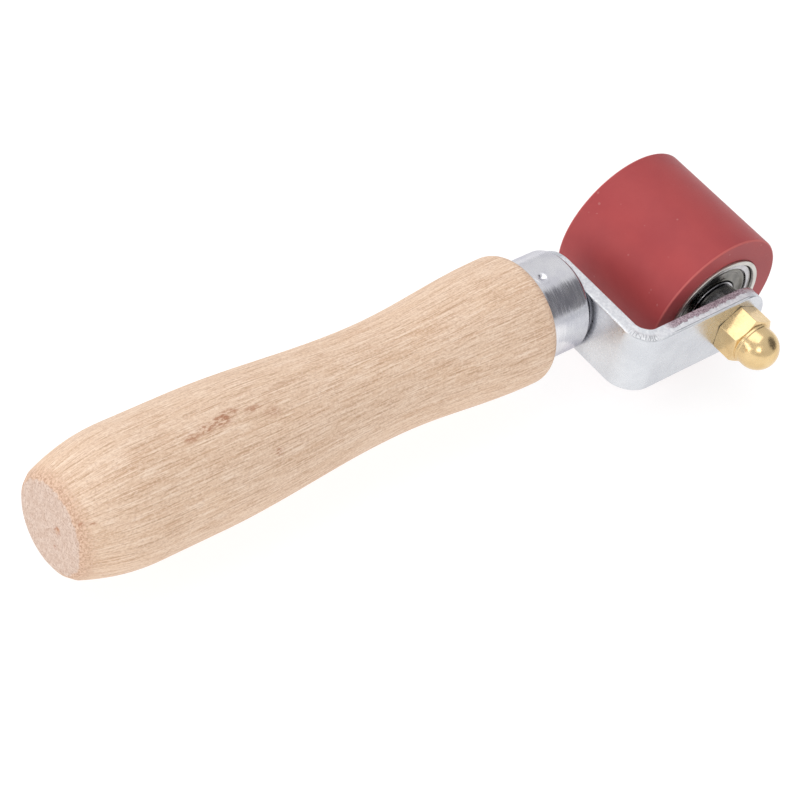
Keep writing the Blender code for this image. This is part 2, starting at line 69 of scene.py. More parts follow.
# %% [markdown]
# ## The tool's own lines
# Nearly everything here is turned about one of two lines: the handle's axis, which runs along X, and the
# axle, which runs along Y. Both could be typed in, but the frame already knows them, so they are measured
# from the boxes of its nodes. A size that is measured can't drift away from the working model.

# %% Measure the two axes and the main faces
def centre_of(node):
    low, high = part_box(node)
    return (low + high) / 2


def half_size(node):
    low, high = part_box(node)
    return (high - low) / 2


HANDLE_LINE = centre_of("ferrule")
AXLE_LINE = centre_of("near_inner_ring")
BUTT_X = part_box("wood_handle")[0].x
BASE_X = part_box("bracket")[0].x
ARM_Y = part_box("bracket")[0].y
HEAD = Vector((BASE_X, HANDLE_LINE.y, HANDLE_LINE.z))
print("handle axis at y, z (mm):", round(HEAD.y / MM, 2), round(HEAD.z / MM, 2))
print("axle axis at x, z (mm):", round(AXLE_LINE.x / MM, 2), round(AXLE_LINE.z / MM, 2))

# %% [markdown]
# ## Camera
# A product view of a hand tool looks down on it from behind the handle's end, with the tool running up to the
# right. A camera can be turned by three angles, but a viewing direction, a tilt and a distance are easier to
# think about: the camera's Z axis points back along the direction, and its X axis is level until the tilt.

# %% Place the camera
VIEW_AZIMUTH = math.radians(-51.085)
VIEW_ELEVATION = math.radians(45.587)
VIEW_TILT = math.radians(16.709)
VIEW_DISTANCE = 520.04 * MM
LENS_LENGTH = 112.5
SENSOR_WIDTH = 36.0
AIM = HEAD + Vector((-32.30, 6.23, -20.79)) * MM

level = math.cos(VIEW_ELEVATION)
back = Vector((math.sin(VIEW_AZIMUTH) * level, -math.cos(VIEW_AZIMUTH) * level, math.sin(VIEW_ELEVATION)))
level_right = Vector((math.cos(VIEW_AZIMUTH), math.sin(VIEW_AZIMUTH), 0.0))
right = Matrix.Rotation(VIEW_TILT, 3, back) @ level_right
camera_data = bpy.data.cameras.new("camera")
camera_data.sensor_width = SENSOR_WIDTH
camera_data.lens = LENS_LENGTH
camera_data.clip_start = 0.01
camera = bpy.data.objects.new("camera", camera_data)
axes = Matrix((right, back.cross(right), back)).transposed()
camera.matrix_world = Matrix.Translation(AIM + back * VIEW_DISTANCE) @ axes.to_4x4()
bpy.context.scene.collection.objects.link(camera)
bpy.context.scene.camera = camera
print("camera at (mm):", [round(value / MM, 1) for value in camera.location])

# %% [markdown]
# ## Finishes: a few helpers
# Every finish below is a small network of nodes. Writing each node out takes four lines, so one helper adds a
# node, sets its plain settings, and fills its sockets: another node's output is linked, and anything else is
# set as a value. Patterns read Object coordinates, so they stay on the piece when it moves, and as those are
# metres, a pattern's scale says how many of its patches fit in one metre.

# %% Helpers for materials
def new_finish(name, colour, roughness, metallic=0.0, coat=0.0, specular=0.5):
    """A Principled material with its even values on the shader's own sockets, and its node tree."""
    material = bpy.data.materials.new(name)
    material.use_nodes = True
    tree = material.node_tree
    shader = tree.nodes["Principled BSDF"]
    shader.inputs["Base Color"].default_value = (*colour, 1.0)
    shader.inputs["Roughness"].default_value = roughness
    shader.inputs["Metallic"].default_value = metallic
    shader.inputs["Coat Weight"].default_value = coat
    shader.inputs["Specular IOR Level"].default_value = specular
    return material, tree, shader


def add(tree, kind, sockets, **settings):
    """Add a node, fill its sockets, and give its first output."""
    fresh = tree.nodes.new(kind)
    for name, value in settings.items():
        setattr(fresh, name, value)
    for name, value in sockets.items():
        if isinstance(value, bpy.types.NodeSocket):
            tree.links.new(value, fresh.inputs[name])
        else:
            fresh.inputs[name].default_value = value
    return fresh.outputs[0]


def object_place(tree, centre=(0, 0, 0), scale=(1, 1, 1), turn=(0, 0, 0)):
    """Object coordinates, moved so that centre is at zero, then turned and stretched."""
    place = tree.nodes.new("ShaderNodeTexCoord").outputs["Object"]
    moved = add(tree, "ShaderNodeVectorMath", {0: place, 1: centre}, operation="SUBTRACT")
    return add(tree, "ShaderNodeMapping", {"Vector": moved, "Rotation": turn, "Scale": scale})


def cloud(tree, place, scale, detail=3.0, roughness=0.55, distortion=0.0):
    return add(tree, "ShaderNodeTexNoise", {"Vector": place, "Scale": scale, "Detail": detail,
                                            "Roughness": roughness, "Distortion": distortion})


def remap(tree, value, start, end, low=0.0, high=1.0):
    return add(tree, "ShaderNodeMapRange", {"Value": value, "From Min": start, "From Max": end,
                                            "To Min": low, "To Max": high}, interpolation_type="SMOOTHSTEP")


def math_node(tree, operation, first, second=0.0):
    return add(tree, "ShaderNodeMath", {0: first, 1: second}, operation=operation)


def times(tree, first, second):
    return math_node(tree, "MULTIPLY", first, second)


def plus(tree, first, second):
    return math_node(tree, "ADD", first, second)


def length_of(tree, place):
    return add(tree, "ShaderNodeVectorMath", {0: place}, operation="LENGTH").node.outputs["Value"]


def split(tree, place):
    """X, Y and Z of a place, as three outputs."""
    parts = tree.nodes.new("ShaderNodeSeparateXYZ")
    tree.links.new(place, parts.inputs[0])
    return parts.outputs


def mix_colour(tree, factor, first, second, blend="MIX"):
    mixer = tree.nodes.new("ShaderNodeMix")
    mixer.data_type = "RGBA"
    mixer.blend_type = blend
    for socket, value in ((mixer.inputs[0], factor), (mixer.inputs[6], first), (mixer.inputs[7], second)):
        if isinstance(value, bpy.types.NodeSocket):
            tree.links.new(value, socket)
        elif isinstance(value, tuple):
            socket.default_value = (*value, 1.0)
        else:
            socket.default_value = value
    return mixer.outputs[2]


def bump(tree, height, distance, strength=1.0, normal=None):
    sockets = {"Height": height, "Distance": distance, "Strength": strength}
    if normal is not None:
        sockets["Normal"] = normal
    return add(tree, "ShaderNodeBump", sockets)


def wire(tree, shader, **sockets):
    """Link results to the shader; an underscore in a name stands for a space."""
    for name, value in sockets.items():
        tree.links.new(value, shader.inputs[name.replace("_", " ")])


print("finish helpers ready")

# %% [markdown]
# ## Floor and light
# A pale light table under the tool and large soft boxes above it give an even light with no hard shadow. The
# table glows a little itself, as an opal sheet does, which fills the undersides. One dark round opening in
# the surroundings, off to the right, is what polished metal needs: without it zinc and brass look flat.

# %% Build the floor
FLOOR_HALF = 3.0
FLOOR_GLOW = 0.79
floor_z = cad_box[0][2]
floor_shape = bmesh.new()
bmesh.ops.create_grid(floor_shape, x_segments=4, y_segments=4, size=FLOOR_HALF)
bmesh.ops.translate(floor_shape, verts=floor_shape.verts, vec=(0, 0, floor_z))
floor_mesh = bpy.data.meshes.new("floor")
floor_shape.to_mesh(floor_mesh)
floor_shape.free()
floor = bpy.data.objects.new("floor", floor_mesh)
bpy.context.scene.collection.objects.link(floor)
floor_finish, tree, shader = new_finish("opal_table", (0.30, 0.30, 0.30), 0.7, specular=0.2)
shader.inputs["Emission Color"].default_value = (1.0, 1.0, 1.0, 1.0)
shader.inputs["Emission Strength"].default_value = FLOOR_GLOW
floor_mesh.materials.append(floor_finish)
print("floor at z (mm):", round(floor_z / MM, 3))

# %% Hang the soft boxes
def way_to(azimuth, elevation):
    """Unit vector towards a place round the tool, for two angles in degrees; azimuth 0 is towards -Y."""
    azimuth = math.radians(azimuth)
    elevation = math.radians(elevation)
    return Vector((math.sin(azimuth) * math.cos(elevation), -math.cos(azimuth) * math.cos(elevation),
                   math.sin(elevation)))


def soft_box(name, azimuth, elevation, distance, width, height, power):
    """A rectangular lamp, placed round the tool and turned to face it."""
    data = bpy.data.lights.new(name, "AREA")
    data.shape = "RECTANGLE"
    data.size = width
    data.size_y = height
    data.energy = power
    lamp = bpy.data.objects.new(name, data)
    way = way_to(azimuth, elevation)
    lamp.location = way * distance
    lamp.rotation_euler = way.to_track_quat("Z", "Y").to_euler()
    bpy.context.scene.collection.objects.link(lamp)


soft_box("top_box", -158.0, 68.0, 1.1, 1.0, 1.0, 3.6)
soft_box("left_box", -110.0, 14.0, 1.2, 0.8, 0.55, 2.8)
soft_box("front_box", -46.0, 38.0, 1.3, 0.50, 0.50, 2.1)

print("lamps:", len(bpy.data.lights))

# %% Paint the surroundings: bright all round, apart from one dark opening
DARK_WAY = way_to(59.0, 30.5)
DARK_RIM = math.radians(28.0)
DARK_CORE = math.radians(23.0)
BRIGHT_WALL = (0.96, 0.97, 1.0)
DARK_WALL = (0.21, 0.21, 0.23)
world = bpy.data.worlds.new("studio")
world.use_nodes = True
world_tree = world.node_tree
sky = world_tree.nodes["Background"]
way = world_tree.nodes.new("ShaderNodeTexCoord").outputs["Generated"]
facing = add(world_tree, "ShaderNodeVectorMath", {0: way, 1: DARK_WAY}, operation="DOT_PRODUCT")
opening = remap(world_tree, facing.node.outputs["Value"], math.cos(DARK_RIM), math.cos(DARK_CORE))
world_tree.links.new(mix_colour(world_tree, opening, BRIGHT_WALL, DARK_WALL), sky.inputs["Color"])
sky.inputs["Strength"].default_value = 0.77
bpy.context.scene.world = world
bpy.context.scene.view_settings.view_transform = "Standard"
print("world nodes:", len(world_tree.nodes))

# %% [markdown]
# ## Turned pieces: one helper
# Handle, ferrule, roller, rings, spacers and rivet are all lathe work. A lathe piece is drawn as half of its
# section, a few points of (radius, height), and then spun a full turn. A corner that a turner would ease gets
# a third number, and a vertex bevel rounds it before the spin, so each ring of faces follows the arc.

# %% Helpers for turned pieces
ALONG_X = Matrix.Rotation(math.radians(90.0), 4, "Y")
ALONG_Y = Matrix.Rotation(math.radians(-90.0), 4, "X")
LIP_SHARE = 0.12  # height of the lip round a punched pit, as a share of its depth


def new_points(grown):
    """The points among what an extrusion made."""
    return [item for item in grown if isinstance(item, bmesh.types.BMVert)]


def slice_at(shape, place, square_to):
    """Cut a ring of edges through the whole shape, in the plane through place."""
    everything = shape.verts[:] + shape.edges[:] + shape.faces[:]
    bmesh.ops.bisect_plane(shape, geom=everything, plane_co=place, plane_no=square_to, dist=1e-7)


def draw_outline(shape, points, closed=False, corner_steps=5):
    """Wire of (radius, height[, corner]) points in the XZ plane, with the named corners rounded."""
    verts = [shape.verts.new((point[0], 0.0, point[1])) for point in points]
    for start, end in zip(verts, verts[1:]):
        shape.edges.new((start, end))
    if closed:
        shape.edges.new((verts[-1], verts[0]))
    for vert, point in zip(verts, points):
        if len(point) == 3:
            bmesh.ops.bevel(shape, geom=[vert], offset=point[2], offset_type="OFFSET", segments=corner_steps,
                            profile=0.5, affect="VERTICES", material=-1)


def spin_full(shape, steps):
    """Turn everything once about Z and close the seam and the poles."""
    bmesh.ops.spin(shape, geom=shape.verts[:] + shape.edges[:], cent=(0, 0, 0), axis=(0, 0, 1),
                   dvec=(0, 0, 0), angle=math.tau, steps=steps, use_merge=True, use_duplicate=False)
    bmesh.ops.remove_doubles(shape, verts=shape.verts[:], dist=1e-6)
    bmesh.ops.recalc_face_normals(shape, faces=shape.faces[:])


def make_piece(name, shape, finish, body, nodes, turn=None, origin=None, crease=35.0):
    """Place a shape, make it an object, hang it on the body it rides on, and hide the nodes it stands for."""
    if turn is not None:
        bmesh.ops.transform(shape, matrix=Matrix.Translation(origin) @ turn, verts=shape.verts)
    loose = [edge for edge in shape.edges if not edge.is_manifold]
    volume = shape.calc_volume(signed=True)
    triangles = sum(len(face.verts) - 2 for face in shape.faces)
    mesh = bpy.data.meshes.new(name)
    shape.to_mesh(mesh)
    shape.free()
    mesh.shade_smooth()
    mesh.set_sharp_from_angle(angle=math.radians(crease))
    mesh.materials.append(finish)
    piece = bpy.data.objects.new(name, mesh)
    bpy.context.scene.collection.objects.link(piece)
    even = piece.modifiers.new("even_normals", "WEIGHTED_NORMAL")
    even.keep_sharp = True
    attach(piece, body)
    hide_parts(*nodes)
    print(name, "triangles", triangles, "volume (cm3)", round(volume * 1e6, 3), "open edges", len(loose))


def punch(shape, centre, inward, radius, depth):
    """Press a small pit into the surface at centre, with a low lip round it."""
    for vert in shape.verts:
        distance = (vert.co - centre).length / radius
        if distance < 1.0:
            vert.co += inward * depth * (math.cos(math.pi * distance) + 1) / 2
        elif distance < 1.5:
            vert.co -= inward * depth * LIP_SHARE * math.sin(math.pi * (distance - 1.0) / 0.5)


def turned_piece(name, points, steps, finish, nodes, turn, origin, body="frame", closed=False,
                 corner_steps=5):
    shape = bmesh.new()
    draw_outline(shape, points, closed, corner_steps)
    spin_full(shape, steps)
    make_piece(name, shape, finish, body, nodes, turn, origin)


print("turning helpers ready")

# %% [markdown]
# ## Wood finish
# The handle is a pale, close-grained hardwood, sanded and left raw. Real grain is a solid pattern, a trunk's
# rings cut by the lathe, so the colour is worked out in space: a ring texture whose centre lies well outside
# the handle gives long bands that bend where the handle narrows. Over it lie slow patches of tone, and
# streaks and pores drawn out along the handle. These would break into dots where the handle tapers, so they
# are looked up on a drum of even radius. The butt is end grain: paler, speckled the same way in every
# direction, with a darker ring where the corner was sanded. The few brown marks are small ellipsoids.

# %% Make the wood finish
BUTT_CENTRE = Vector((BUTT_X, HEAD.y, HEAD.z))
BLEMISHES = (
    # distance past the head, sideways, height, half length, half width, strength
    (-99.0, -3.6, 13.4, 2.6, 1.3, 0.80),
    (-95.5, -3.1, 13.6, 3.2, 1.6, 0.95),
    (-91.8, -2.8, 13.7, 3.4, 2.0, 1.10),
    (-89.5, -2.0, 13.8, 3.0, 1.3, 1.00),
    (-84.8, -3.0, 13.3, 3.0, 1.1, 0.75),
    (-81.2, -5.0, 12.5, 2.6, 1.6, 0.65),
    (-83.0, -10.8, 8.3, 1.5, 0.9, 1.30),
    (-124.8, -7.2, 7.8, 1.1, 0.8, 0.90),
    (-123.0, -8.0, 8.1, 1.3, 0.6, 0.90),
    (-126.0, -2.2, 1.4, 1.0, 1.3, 0.75),
    (-126.0, -2.4, -2.9, 1.0, 0.8, 0.60),
)
PALE_RING = (0.800, 0.588, 0.430)
TAN_RING = (0.762, 0.545, 0.385)
WARM_PATCH = (0.80, 0.555, 0.375)
STREAK = (0.62, 0.375, 0.230)
LIGHT_FIBRE = (0.96, 0.79, 0.645)
DARK_PORE = (0.46, 0.26, 0.150)
DARK_FLECK = (0.50, 0.30, 0.195)
LIGHT_FLECK = (0.95, 0.775, 0.625)
DRUM_RADIUS = 12.5 * MM
WARP_REACH = 8.0 * MM
wood, tree, shader = new_finish("raw_hardwood", (0.6, 0.42, 0.29), 0.66, specular=0.3)
pith = HEAD + Vector((0.0, 46.0, -70.0)) * MM
slow_place = object_place(tree, HEAD, (0.10, 1.0, 1.0))
warp = add(tree, "ShaderNodeTexNoise", {"Vector": slow_place, "Scale": 45.0, "Detail": 2.0})
warp_offset = add(tree, "ShaderNodeVectorMath",
                  {0: warp.node.outputs["Color"], 1: (0.0, WARP_REACH, WARP_REACH)}, operation="MULTIPLY")
ring_place = add(tree, "ShaderNodeVectorMath", {0: object_place(tree, pith), 1: warp_offset}, operation="ADD")
rings = add(tree, "ShaderNodeTexWave", {"Vector": ring_place, "Scale": 95.0, "Distortion": 0.6, "Detail": 2.0,
                                        "Detail Scale": 3.0, "Detail Roughness": 0.6},
            wave_type="RINGS", rings_direction="X", wave_profile="SAW")
crosswise = object_place(tree, HEAD, (0.0, 1.0, 1.0))
unit_round = add(tree, "ShaderNodeVectorMath", {0: crosswise}, operation="NORMALIZE")
drum = add(tree, "ShaderNodeVectorMath", {0: unit_round, 1: (0.0, DRUM_RADIUS, DRUM_RADIUS)},
           operation="MULTIPLY")


def along_grain(stretch):
    """Place on a drum of even radius, so a streak keeps to the surface where the handle tapers."""
    length_way = object_place(tree, HEAD, (stretch, 0.0, 0.0))
    return add(tree, "ShaderNodeVectorMath", {0: drum, 1: length_way}, operation="ADD")


streaks = cloud(tree, along_grain(0.018), 2700.0, detail=2.0, roughness=0.55)
pores = cloud(tree, along_grain(0.035), 4600.0, detail=2.0, roughness=0.6)
speckle = cloud(tree, object_place(tree, HEAD, (0.6, 1.0, 1.0)), 2700.0, detail=2.0, roughness=0.7)
patches = cloud(tree, object_place(tree, HEAD, (0.35, 1.0, 1.0)), 110.0, detail=3.0)
tone = mix_colour(tree, rings, PALE_RING, TAN_RING)
tone = mix_colour(tree, remap(tree, patches, 0.45, 0.7, 0.0, 0.5), tone, WARM_PATCH)
tone = mix_colour(tree, remap(tree, streaks, 0.52, 0.64, 0.0, 0.42), tone, STREAK)
tone = mix_colour(tree, remap(tree, pores, 0.47, 0.34, 0.0, 0.60), tone, LIGHT_FIBRE)
tone = mix_colour(tree, remap(tree, pores, 0.53, 0.66, 0.0, 0.58), tone, DARK_PORE)
tone = mix_colour(tree, remap(tree, speckle, 0.52, 0.68, 0.0, 0.40), tone, DARK_FLECK)
tone = mix_colour(tree, remap(tree, speckle, 0.48, 0.34, 0.0, 0.40), tone, LIGHT_FLECK)
print("side grain ready, nodes:", len(tree.nodes))

# %% Add the end grain and the blemishes
END_PALE = (0.665, 0.515, 0.425)
END_GREY = (0.585, 0.425, 0.335)
END_DARK_CELL = (0.38, 0.225, 0.165)
END_LIGHT_CELL = (0.84, 0.71, 0.62)
CORNER_TAN = (0.72, 0.50, 0.36)
CORNER_BROWN = (0.46, 0.26, 0.17)
MARK_BROWN = (0.40, 0.155, 0.075)
end_noise = cloud(tree, object_place(tree, BUTT_CENTRE), 700.0, detail=3.0)
from_end = plus(tree, split(tree, object_place(tree, BUTT_CENTRE))["X"],
                remap(tree, end_noise, 0.3, 0.7, -0.12 * MM, 0.12 * MM))
end_face = remap(tree, from_end, 0.60 * MM, 0.16 * MM)
end_corner = times(tree, remap(tree, from_end, 0.14 * MM, 0.36 * MM),
                   remap(tree, from_end, 3.4 * MM, 0.4 * MM))
end_cells = cloud(tree, object_place(tree, BUTT_CENTRE), 2400.0, detail=3.0, roughness=0.7)
end_tone = mix_colour(tree, remap(tree, end_noise, 0.35, 0.65), END_PALE, END_GREY)
end_tone = mix_colour(tree, remap(tree, end_cells, 0.49, 0.64, 0.0, 0.60), end_tone, END_DARK_CELL)
end_tone = mix_colour(tree, remap(tree, end_cells, 0.46, 0.34, 0.0, 0.45), end_tone, END_LIGHT_CELL)
tone = mix_colour(tree, end_face, tone, end_tone)
corner_tone = mix_colour(tree, remap(tree, end_cells, 0.40, 0.62), CORNER_TAN, CORNER_BROWN)
tone = mix_colour(tree, times(tree, end_corner, 0.85), tone, corner_tone)
stain_cloud = cloud(tree, object_place(tree, HEAD, (0.45, 1.0, 1.0)), 1700.0, detail=4.0)
stain_grain = remap(tree, stain_cloud, 0.44, 0.56)
for x, y, z, long, wide, strength in BLEMISHES:
    place = HEAD + Vector((x, y, z)) * MM
    squeeze = (1 / long, 1 / wide, 1 / wide)
    near = length_of(tree, object_place(tree, place, squeeze))
    near = remap(tree, near, 1.0 * MM, 0.25 * MM, 0.0, 0.62 * strength)
    near = times(tree, near, plus(tree, stain_grain, 0.20))
    tone = mix_colour(tree, near, tone, MARK_BROWN)
heights = plus(tree, times(tree, streaks, -1.0), times(tree, pores, -0.6))
wire(tree, shader, Base_Color=tone, Normal=bump(tree, heights, 0.020 * MM, 0.6))
print("wood nodes:", len(tree.nodes))

# %% [markdown]
# ## Wooden handle
# The handle is turned: a flat butt with an eased corner, a swell for the palm, a waist for the fingers, a
# second swell, and a thin spigot that the ferrule covers. A curve object with a taper could give the same
# form, but a spun outline keeps each diameter where the drawing has it, and it leaves the bore for the tang.

# %% Turn the handle
BUTT_EDGE = 2.6 * MM
BUTT_TAPER_LENGTH = 15.8 * MM
BUTT_TAPER_DROP = 3.0 * MM
SWELL_FROM_BUTT = 31.5 * MM
WAIST_FROM_BUTT = 76.0 * MM
WAIST_RADIUS = 11.75 * MM
FRONT_EDGE = 2.6 * MM
FRONT_RADIUS = 13.95 * MM
SPIGOT_RADIUS = 9.6 * MM
TANG_BORE = 3.3 * MM
HANDLE_STATIONS = 90
HANDLE_STEPS = 192
BUTT_RINGS = 30
DENTS = (
    # up, sideways, radius, depth
    (1.7, -2.2, 1.0, 0.45),
    (0.6, -2.0, 0.8, 0.30),
    (-2.9, -2.4, 0.6, 0.25),
)
swell_radius = half_size("wood_handle").y
wood_front_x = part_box("ferrule")[0].x - GAP
wood_length = wood_front_x - BUTT_X


def eased(start, end, share):
    return start + (end - start) * (1 - math.cos(math.pi * share)) / 2


def handle_radius(from_butt):
    """Radius of the grip: a taper at the butt, then swell, waist and swell."""
    front = wood_length - FRONT_EDGE
    taper_end = BUTT_EDGE * 0.65 + BUTT_TAPER_LENGTH
    if from_butt < taper_end:
        return swell_radius - BUTT_TAPER_DROP * ((taper_end - from_butt) / BUTT_TAPER_LENGTH) ** 2
    if from_butt < SWELL_FROM_BUTT:
        return swell_radius
    if from_butt < WAIST_FROM_BUTT:
        share = (from_butt - SWELL_FROM_BUTT) / (WAIST_FROM_BUTT - SWELL_FROM_BUTT)
        return eased(swell_radius, WAIST_RADIUS, share)
    return eased(WAIST_RADIUS, FRONT_RADIUS, (from_butt - WAIST_FROM_BUTT) / (front - WAIST_FROM_BUTT))


def turn_handle():
    butt = BUTT_X - HEAD.x
    front = wood_front_x - HEAD.x
    spigot_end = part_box("wood_handle")[1].x - HEAD.x
    bore_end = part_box("tang_rivet")[0].x - HEAD.x - GAP
    outline = [(0.0, bore_end), (TANG_BORE, bore_end), (TANG_BORE, spigot_end)]
    outline += [(SPIGOT_RADIUS, spigot_end, 0.4 * MM), (SPIGOT_RADIUS, front)]
    outline += [(FRONT_RADIUS, front, FRONT_EDGE)]
    first = wood_length - FRONT_EDGE * 1.02
    last = BUTT_EDGE * 0.72
    for step in range(HANDLE_STATIONS + 1):
        from_butt = first + (last - first) * step / HANDLE_STATIONS
        outline.append((handle_radius(from_butt), butt + from_butt))
    edge_radius = handle_radius(last) - BUTT_EDGE * math.sin(math.radians(57.0)) * 0.22
    outline += [(edge_radius - 0.45 * MM, butt + 0.68 * MM), (edge_radius - 1.35 * MM, butt + 0.13 * MM)]
    flat_radius = edge_radius - 2.1 * MM
    outline += [(flat_radius * (1 - step / BUTT_RINGS), butt) for step in range(BUTT_RINGS + 1)]
    shape = bmesh.new()
    draw_outline(shape, outline, corner_steps=10)
    spin_full(shape, HANDLE_STEPS)
    for up, sideways, radius, depth in DENTS:
        punch(shape, Vector((-up * MM, sideways * MM, butt)), Vector((0, 0, 1)), radius * MM, depth * MM)
    make_piece("turned_handle", shape, wood, "frame", ["wood_handle"], ALONG_X, HEAD)


turn_handle()

# %% [markdown]
# ## Ferrule
# The ferrule is a drawn steel cup, bright zinc plated, pressed over the spigot. It is lathe work in this
# notebook too: a closed section of constant wall, with the round outer corner that drawing leaves, and a
# shallow boss that bears on the bracket. The shop stakes it with one blow of a centre punch, so the side is
# cut into fine rings near the mark, and the points round it are pushed in with a soft falloff and a small
# raised lip. Where the ferrule meets the bracket, the plating is painted darker: painted shade between the
# parts.

# %% Make the bright zinc finish
ZINC_LIGHT = (0.86, 0.85, 0.86)
ZINC_GREY = (0.76, 0.75, 0.79)
ZINC_MARK = (0.80, 0.80, 0.84)
# painted shade colour for the ferrule's front edge, where it meets the bracket
ZINC_JOINT_SHADE = (0.27, 0.27, 0.30)
bright_zinc, tree, shader = new_finish("brushed_bright_zinc", (0.70, 0.71, 0.74), 0.2, metallic=1.0)
round_marks = cloud(tree, object_place(tree, HEAD, (1.0, 0.06, 0.06)), 5200.0, detail=3.0)
stains = cloud(tree, object_place(tree, HEAD), 240.0, detail=3.0)
steel_tone = mix_colour(tree, remap(tree, stains, 0.35, 0.7), ZINC_LIGHT, ZINC_GREY)
steel_tone = mix_colour(tree, remap(tree, round_marks, 0.5, 0.75, 0.0, 0.35), steel_tone, ZINC_MARK)
gloss = remap(tree, round_marks, 0.25, 0.75, 0.14, 0.30)
shader.inputs["Specular Tint"].default_value = (0.62, 0.62, 0.66, 1.0)
# painted shade: the plating is made darker near the ferrule's front edge, where it meets the bracket
ferrule_joint_shade = remap(tree, split(tree, object_place(tree, HEAD))["X"], -1.34 * MM, -1.06 * MM)
steel_tone = mix_colour(tree, times(tree, ferrule_joint_shade, 0.8), steel_tone, ZINC_JOINT_SHADE)
ripples = cloud(tree, object_place(tree, HEAD, (1.0, 0.10, 0.10)), 900.0, detail=2.0)
relief = bump(tree, round_marks, 0.010 * MM, 0.8, bump(tree, ripples, 0.05 * MM, 1.0))
wire(tree, shader, Base_Color=steel_tone, Roughness=gloss, Normal=relief)
print("bright zinc nodes:", len(tree.nodes))

# %% Draw the ferrule's cup and punch its mark
PUNCH_BACK = 8.6 * MM
PUNCH_TURN = math.radians(4.5)
PUNCH_RADIUS = 1.15 * MM
PUNCH_DEPTH = 0.45 * MM
PUNCH_RINGS = 26
PUNCH_ZONE = 3.6 * PUNCH_RADIUS
FERRULE_WALL = 1.0 * MM
FERRULE_CORNER = 0.9 * MM
FERRULE_STEPS = 288
BOSS_INSET = 1.05 * MM
BOSS_STAND_OFF = 0.06 * MM
ferrule_low, ferrule_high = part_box("ferrule")
ferrule_radius = half_size("ferrule").y


def draw_ferrule():
    front = ferrule_high.x - HEAD.x
    mouth = ferrule_low.x - HEAD.x
    inside = front - FERRULE_WALL
    inner = ferrule_radius - FERRULE_WALL
    boss = ferrule_radius - BOSS_INSET
    shape = bmesh.new()
    outline = [(TANG_BORE, -BOSS_STAND_OFF), (boss, -BOSS_STAND_OFF, 0.1 * MM), (boss + 0.08 * MM, front)]
    outline += [(ferrule_radius, front, FERRULE_CORNER), (ferrule_radius, mouth, 0.3 * MM)]
    outline += [(inner, mouth, 0.2 * MM), (inner, inside, 0.6 * MM), (TANG_BORE, inside)]
    draw_outline(shape, outline, closed=True, corner_steps=8)
    spin_full(shape, FERRULE_STEPS)
    for step in range(PUNCH_RINGS + 1):
        slice_at(shape, (0, 0, -PUNCH_BACK + (step / PUNCH_RINGS - 0.5) * PUNCH_ZONE), (0, 0, 1))
    outward = Vector((-math.cos(PUNCH_TURN), -math.sin(PUNCH_TURN), 0.0))
    mark = outward * ferrule_radius + Vector((0, 0, -PUNCH_BACK))
    punch(shape, mark, -outward, PUNCH_RADIUS, PUNCH_DEPTH)
    make_piece("drawn_ferrule", shape, bright_zinc, "frame", ["ferrule"], ALONG_X, HEAD)


draw_ferrule()

# %% [markdown]
# ## Bracket
# The bracket is one strip of plated steel: cut to length with round ends, drilled twice, and bent square. It
# is made here in the same order. The blank is flat: each end is a ring of faces between a hole and the
# strip's outline, and the rows between them are extruded from one end to the other. Then it gets its
# thickness, its edges are eased, and each point is remembered in an attribute called blank, as the distance
# along, across and through the sheet. Only then is it bent, so a finish can follow the metal round the bend.

# %% Lay out the flat blank
STRIP_THICKNESS = 3.2 * MM
BEND_INNER_RADIUS = 3.0 * MM
BASE_OVERHANG = 2.6 * MM
ARM_OVERHANG = 0.8 * MM
AXLE_HOLE = 3.3 * MM
END_STEPS = 64
BEND_CUTS = 28
PLAIN_CUTS = 14
TOUCHING = 1e-6
strip_half = half_size("bracket").z
bend_middle = BEND_INNER_RADIUS + STRIP_THICKNESS / 2
bend_outer = BEND_INNER_RADIUS + STRIP_THICKNESS
bend_centre = Vector((bend_outer, ARM_Y - HEAD.y + bend_outer, 0.0))
base_run = -bend_centre.y
bend_run = bend_middle * math.pi / 2
axle_along = base_run + bend_run + AXLE_LINE.x - HEAD.x - bend_centre.x
print("blank from tang hole to axle hole (mm):", round(axle_along / MM, 2))


def plate_end(shape, end_at, hole_at, hole_radius, side):
    """Flat faces between a hole and the outline round it, which is square on the side towards the strip."""
    middle = Vector((end_at, 0.0, 0.0))
    rim = bmesh.ops.create_circle(shape, cap_ends=False, segments=END_STEPS, radius=strip_half,
                                  matrix=Matrix.Translation(middle))["verts"]
    hole = bmesh.ops.create_circle(shape, cap_ends=False, segments=END_STEPS, radius=hole_radius,
                                   matrix=Matrix.Translation((hole_at, 0.0, 0.0)))["verts"]
    for vert in rim:
        offset = vert.co - middle
        if offset.x * side < 0:
            vert.co = middle + offset * strip_half / max(abs(offset.x), abs(offset.y))
    loops = {edge for vert in rim + hole for edge in vert.link_edges}
    bmesh.ops.bridge_loops(shape, edges=list(loops))


def cut_across(shape, along):
    slice_at(shape, (along, 0, 0), (1, 0, 0))


def lay_out_blank():
    shape = bmesh.new()
    plate_end(shape, -BASE_OVERHANG, 0.0, TANG_BORE, -1)
    plate_end(shape, axle_along + ARM_OVERHANG, axle_along, AXLE_HOLE, 1)
    start = -BASE_OVERHANG + strip_half
    end = axle_along + ARM_OVERHANG - strip_half
    row = [edge for edge in shape.edges if all(abs(vert.co.x - start) < TOUCHING for vert in edge.verts)]
    grown = bmesh.ops.extrude_edge_only(shape, edges=row)["geom"]
    bmesh.ops.translate(shape, verts=new_points(grown), vec=(end - start, 0.0, 0.0))
    bmesh.ops.remove_doubles(shape, verts=shape.verts[:], dist=TOUCHING)
    for step in range(BEND_CUTS + 1):
        cut_across(shape, base_run + bend_run * step / BEND_CUTS)
    for step in range(1, PLAIN_CUTS):
        cut_across(shape, start + (base_run - start) * step / PLAIN_CUTS)
        cut_across(shape, end + (base_run + bend_run - end) * step / PLAIN_CUTS)
    bmesh.ops.recalc_face_normals(shape, faces=shape.faces[:])
    return shape


blank = lay_out_blank()
print("flat blank faces:", len(blank.faces))

